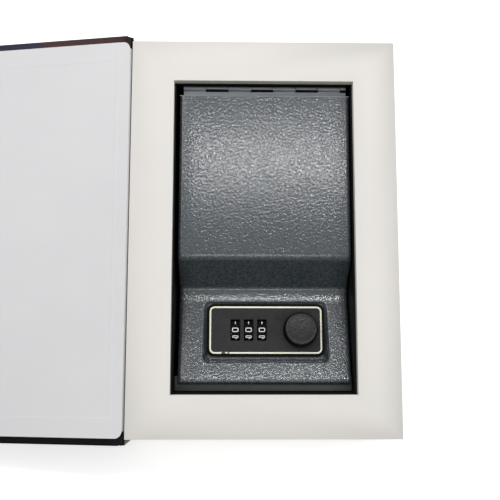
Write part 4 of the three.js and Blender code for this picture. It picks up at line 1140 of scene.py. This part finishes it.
# %% Numbers on the wheels
DIGIT_WIDTH = 3.3 * MM
DIGIT_HEIGHT = 2.1 * MM
PEN = 0.29 * MM
PEN_PRESSED = 0.12
PEN_CORNER = 0.6 * MM
PEN_STEP = 0.5 * MM
TURN_BACK = 0.1
SHARP_CORNER = 0.01 * MM
SAME_POINT = 0.02 * MM
GRID = dict(zip("abcdefghi", [(x, y) for y in (1, 0.5, 0) for x in (0, 0.5, 1)]))
GRID.update(s=(0.3, 0.5), t=(0.4, 0))
DIGIT_PATHS = "bcigab bh acfdgi acfsfig adfci cadfig bdgifd act edacfefigd fdacfh".split()


def pen_points(path):
    places = [GRID[letter] for letter in path]
    corners = [Vector(((x - 0.5) * DIGIT_WIDTH, (y - 0.5) * DIGIT_HEIGHT)) for x, y in places]
    reaches = []
    for before, corner, after in zip(corners, corners[1:], corners[2:]):
        turns_back = (before - corner).angle(after - corner) < TURN_BACK
        reaches.append(SHARP_CORNER if turns_back else PEN_CORNER)
    points = rounded_path(corners, reaches)
    fine = [points[0]]
    for before, after in zip(points, points[1:]):
        count = max(1, round((after - before).length / PEN_STEP))
        fine += [before.lerp(after, (step + 1) / count) for step in range(count)]
    return [p for p, q in zip(fine, fine[1:] + [None]) if q is None or (p - q).length > SAME_POINT]


def pen_stroke(path):
    curve = bpy.data.curves.new("stroke", "CURVE")
    curve.dimensions = "3D"
    curve.bevel_depth = PEN
    curve.bevel_resolution = 1
    curve.use_fill_caps = True
    points = pen_points(path)
    spline = curve.splines.new("POLY")
    spline.points.add(len(points) - 1)
    for place, point in zip(spline.points, points):
        place.co = (point.x, point.y, 0, 1)
    source = add_object("stroke", curve)
    mesh = bpy.data.meshes.new_from_object(source.evaluated_get(bpy.context.evaluated_depsgraph_get()))
    bpy.data.objects.remove(source)
    bpy.data.curves.remove(curve)
    return mesh


def make_digits(number, place, strokes):
    whole = bmesh.new()
    for value, mesh in enumerate(strokes):
        first = len(whole.verts)
        whole.from_mesh(mesh)
        whole.verts.ensure_lookup_table()
        for vert in whole.verts[first:]:
            angle = value * DIGIT_SHARE + vert.co.y / WHEEL_R
            reach = WHEEL_R + vert.co.z * PEN_PRESSED
            vert.co = (vert.co.x, reach * math.sin(angle), reach * math.cos(angle))
    bmesh.ops.remove_doubles(whole, verts=whole.verts, dist=WELD_GAP)
    turn_out(whole)
    set_at(whole, LOCK @ Matrix.Translation((place, 0, WHEEL_Z)))
    piece = finish_piece(f"wheel_digits_{number}", whole, DIGIT_WHITE, f"wheel_{number}", "black_plastic")
    piece.data.shade_smooth()
    return piece


strokes = [pen_stroke(path) for path in DIGIT_PATHS]
for number, place in enumerate(WHEEL_PLACES, 1):
    digits = make_digits(number, place, strokes)
for mesh in strokes:
    bpy.data.meshes.remove(mesh)
print("faces in one wheel's numbers:", len(digits.data.polygons))

# %% [markdown]
# The knob is turned work: half of its side view is spun once round its axis and closed. Its top is a shallow
# dome inside a rounded shoulder, and its side has a fine grip of narrow grooves. The side is given the
# blacker wheel plastic as painted shade, and only the top has the knob's own plastic.

# %% Knob
KNOB_PLACE = 20.8 * MM
KNOB_SPIN = 96
KNOB_LINE = [
    (0.0, 4.5), (3.3, 4.5), (3.3, 0.3), (9.8, 0.3), (10.35, 0.5), (10.5, 0.9), (10.4, 1.5), (9.95, 6.6),
    (9.8, 7.4), (9.4, 7.95), (8.9, 8.22), (8.35, 8.32), (8.05, 8.2), (7.75, 8.2), (7.35, 8.32), (5.6, 8.47),
    (3.0, 8.56), (0.0, 8.6),
]
KNOB_SHADED_SIDE = 0.7
KNOB_WELD = 0.001 * MM
GRIP_R = 9.9 * MM
GRIP_CUT = 0.18 * MM


def make_knob():
    shape = bmesh.new()
    verts = [shape.verts.new((r * MM, 0, z * MM)) for r, z in KNOB_LINE]
    edges = [shape.edges.new(pair) for pair in zip(verts, verts[1:])]
    bmesh.ops.spin(
        shape, geom=[*verts, *edges], cent=(0, 0, 0), axis=(0, 0, 1), angle=2 * math.pi,
        steps=KNOB_SPIN, use_merge=True,
    )
    bmesh.ops.remove_doubles(shape, verts=shape.verts, dist=KNOB_WELD)
    for vert in shape.verts:
        reach = math.hypot(vert.co.x, vert.co.y)
        step = round(math.atan2(vert.co.y, vert.co.x) / (2 * math.pi) * KNOB_SPIN)
        if reach > GRIP_R and step % 2:
            vert.co.xy *= 1 - GRIP_CUT / reach
    turn_out(shape)
    # Side faces get the blacker wheel plastic as painted shade; the top keeps the knob's plastic.
    for face in shape.faces:
        face.material_index = 0 if face.normal.z > KNOB_SHADED_SIDE else 1
    set_at(shape, LOCK @ Matrix.Translation((KNOB_PLACE, 0, 0)))
    materials = [KNOB_PLASTIC, WHEEL_PLASTIC]
    piece = finish_piece("knob_grip", shape, materials, "knob", "black_plastic", "knob")
    piece.data.shade_smooth()
    print("knob faces:", len(piece.data.polygons))


make_knob()

# %% [markdown]
# The front cover's parts are worked on in its own frame, where the board lies level and the origin is on the
# joint's axis. The wrap is oblique at its two corners by the joint: a plane cuts each corner away, and the
# open edge is closed with new faces.

# %% Wrap of the front cover
COVER_AXIS = Vector((-78.9, 0, 51.6)) * MM
COVER_TILT = math.radians(-11.2)
COVER = Matrix.Translation(COVER_AXIS) @ Matrix.Rotation(COVER_TILT, 4, "Y")
TO_COVER = COVER.inverted()
CORNER_START = (-3.1 * MM, 120.0 * MM)
CORNER_END = (-0.4 * MM, 118.2 * MM)


def make_front_wrap():
    shape = welded("front_wrap")
    set_at(shape, TO_COVER)
    along = CORNER_START[1] - CORNER_END[1]
    across = CORNER_END[0] - CORNER_START[0]
    for side in (1, -1):
        corner = (CORNER_START[0], side * CORNER_START[1], 0)
        outward = (along, side * across, 0)
        bmesh.ops.bisect_plane(
            shape, geom=everything(shape), plane_co=corner, plane_no=outward, clear_outer=True
        )
        rim = [edge for edge in shape.edges if edge.is_boundary]
        filled = bmesh.ops.holes_fill(shape, edges=rim, sides=0)["faces"]
        print("corner cut, edges and new faces:", len(rim), len(filled))
    set_at(shape, COVER)
    turn_out(shape)
    piece = finish_piece(
        "front_wrap_worked", shape, COVER_WRAP, "front_cover", SLOTS["front_wrap"], "front_wrap"
    )
    break_edges(piece, WRAP_EDGE, WRAP_STEPS)


make_front_wrap()

# %% [markdown]
# The endpaper is glued over the turned-in edges of the wrap, so a faint ridge shows where they end, and it
# dips where the stiff board stops and the joint begins. The construction sheet is cut at those lines and its
# upper face is lowered, by a tenth of a millimetre between them and by twice that at the joint.

# %% Endpaper of the front cover
TURN_IN_X = -145.5 * MM
TURN_IN_Y = 105.0 * MM
BOARD_END = -8.6 * MM
RIDGE_END = BOARD_END - 0.4 * MM
RELIEF = 0.12 * MM
RELIEF_RUN = 0.7 * MM
JOINT_DIP = 1.9
DIP_RUN_IN = 1.6 * MM
DIP_RUN_OUT = 7 * MM
DIP_LINES_END = -1.0 * MM
DIP_LINE = 0.8 * MM
UPPER_FACE_Z = -0.05 * MM
PAPER_CORNER = 4.5 * MM
PAPER_HALF = 116.0 * MM


def clamped(value):
    return min(max(value, 0), 1)


def sunk(x, y):
    from_edge = min(x - TURN_IN_X, RIDGE_END - x, TURN_IN_Y - abs(y))
    middle = clamped(from_edge / RELIEF_RUN)
    joint = clamped((x - BOARD_END) / DIP_RUN_IN) * clamped(-x / DIP_RUN_OUT)
    return RELIEF * max(middle * middle * (3 - 2 * middle), JOINT_DIP * joint)


def round_corner(vert, end):
    into = vert.co.x - (end - PAPER_CORNER)
    if into > 0:
        room = PAPER_HALF - PAPER_CORNER + math.sqrt(max(PAPER_CORNER ** 2 - into ** 2, 0))
        vert.co.y = max(min(vert.co.y, room), -room)


def make_front_endpaper():
    shape = welded("front_pastedown")
    set_at(shape, TO_COVER)
    across = [TURN_IN_X, TURN_IN_X + RELIEF_RUN / 2, TURN_IN_X + RELIEF_RUN]
    across += [RIDGE_END - RELIEF_RUN, RIDGE_END]
    across += lines_between(BOARD_END, DIP_LINES_END, DIP_LINE)
    for x in across:
        cut_at(shape, (x, 0, 0), (1, 0, 0))
    for y in (TURN_IN_Y - RELIEF_RUN, TURN_IN_Y - RELIEF_RUN / 2, TURN_IN_Y):
        cut_at(shape, (0, y, 0), (0, 1, 0))
        cut_at(shape, (0, -y, 0), (0, 1, 0))
    for vert in shape.verts:
        if vert.co.z > UPPER_FACE_Z:
            vert.co.z -= sunk(vert.co.x, vert.co.y)
    end = max(vert.co.x for vert in shape.verts)
    for vert in shape.verts:
        round_corner(vert, end)
    print("paper ends before the joint's axis:", round(-end / MM, 2), "mm")
    set_at(shape, COVER)
    finish_piece("front_endpaper", shape, ENDPAPER, "front_cover", "endpaper", "front_pastedown")


make_front_endpaper()

# %% [markdown]
# A book has no metal hinge: paper and wrap run across the joint and bend.

# %% Paper and wrap across the joint
JOINT_STEPS = 4


def curve_through(points, steps):
    rounded = [points[0]]
    for before, corner, after in zip(points, points[1:], points[2:]):
        start, end = before.lerp(corner, 0.5), corner.lerp(after, 0.5)
        for step in range(steps + 1):
            t = step / steps
            rounded.append(start.lerp(corner, t).lerp(corner.lerp(end, t), t))
    rounded.append(points[-1])
    return rounded


def joint_strip(name, cover_side, book_side, half, thickness, material, slot):
    path = cover_side + curve_through(book_side, JOINT_STEPS)
    shape = swept([(p.x, -half, p.z) for p in path], (0, 2 * half, 0))
    turn_out(shape)
    bmesh.ops.solidify(shape, geom=shape.faces, thickness=thickness)
    turn_out(shape)
    piece = finish_piece(name, shape, material, None, slot)
    piece.data.shade_smooth()
    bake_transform(piece)
    print(name, "points across:", len(path))


def on_cover(x, z):
    return COVER @ Vector((x * MM, 0, z * MM))


def on_book(x, z):
    return Vector((x * MM, 0, z * MM))


joint_strip(
    "joint_paper", [on_cover(-1.8, -0.16), on_cover(-0.95, -0.16)],
    [on_book(-79.2, 50.65), on_book(-79.02, 49.9), on_book(-78.95, 48.4)],
    112.0 * MM, 0.14 * MM, ENDPAPER, "endpaper",
)
joint_strip(
    "joint_wrap", [on_cover(-1.9, -0.7), on_cover(-0.95, -0.7)],
    [on_book(-80.25, 50.3), on_book(-80.4, 49.95), on_book(-80.45, 49.6)],
    118.0 * MM, 0.25 * MM, COVER_WRAP, "cover_wrap",
)
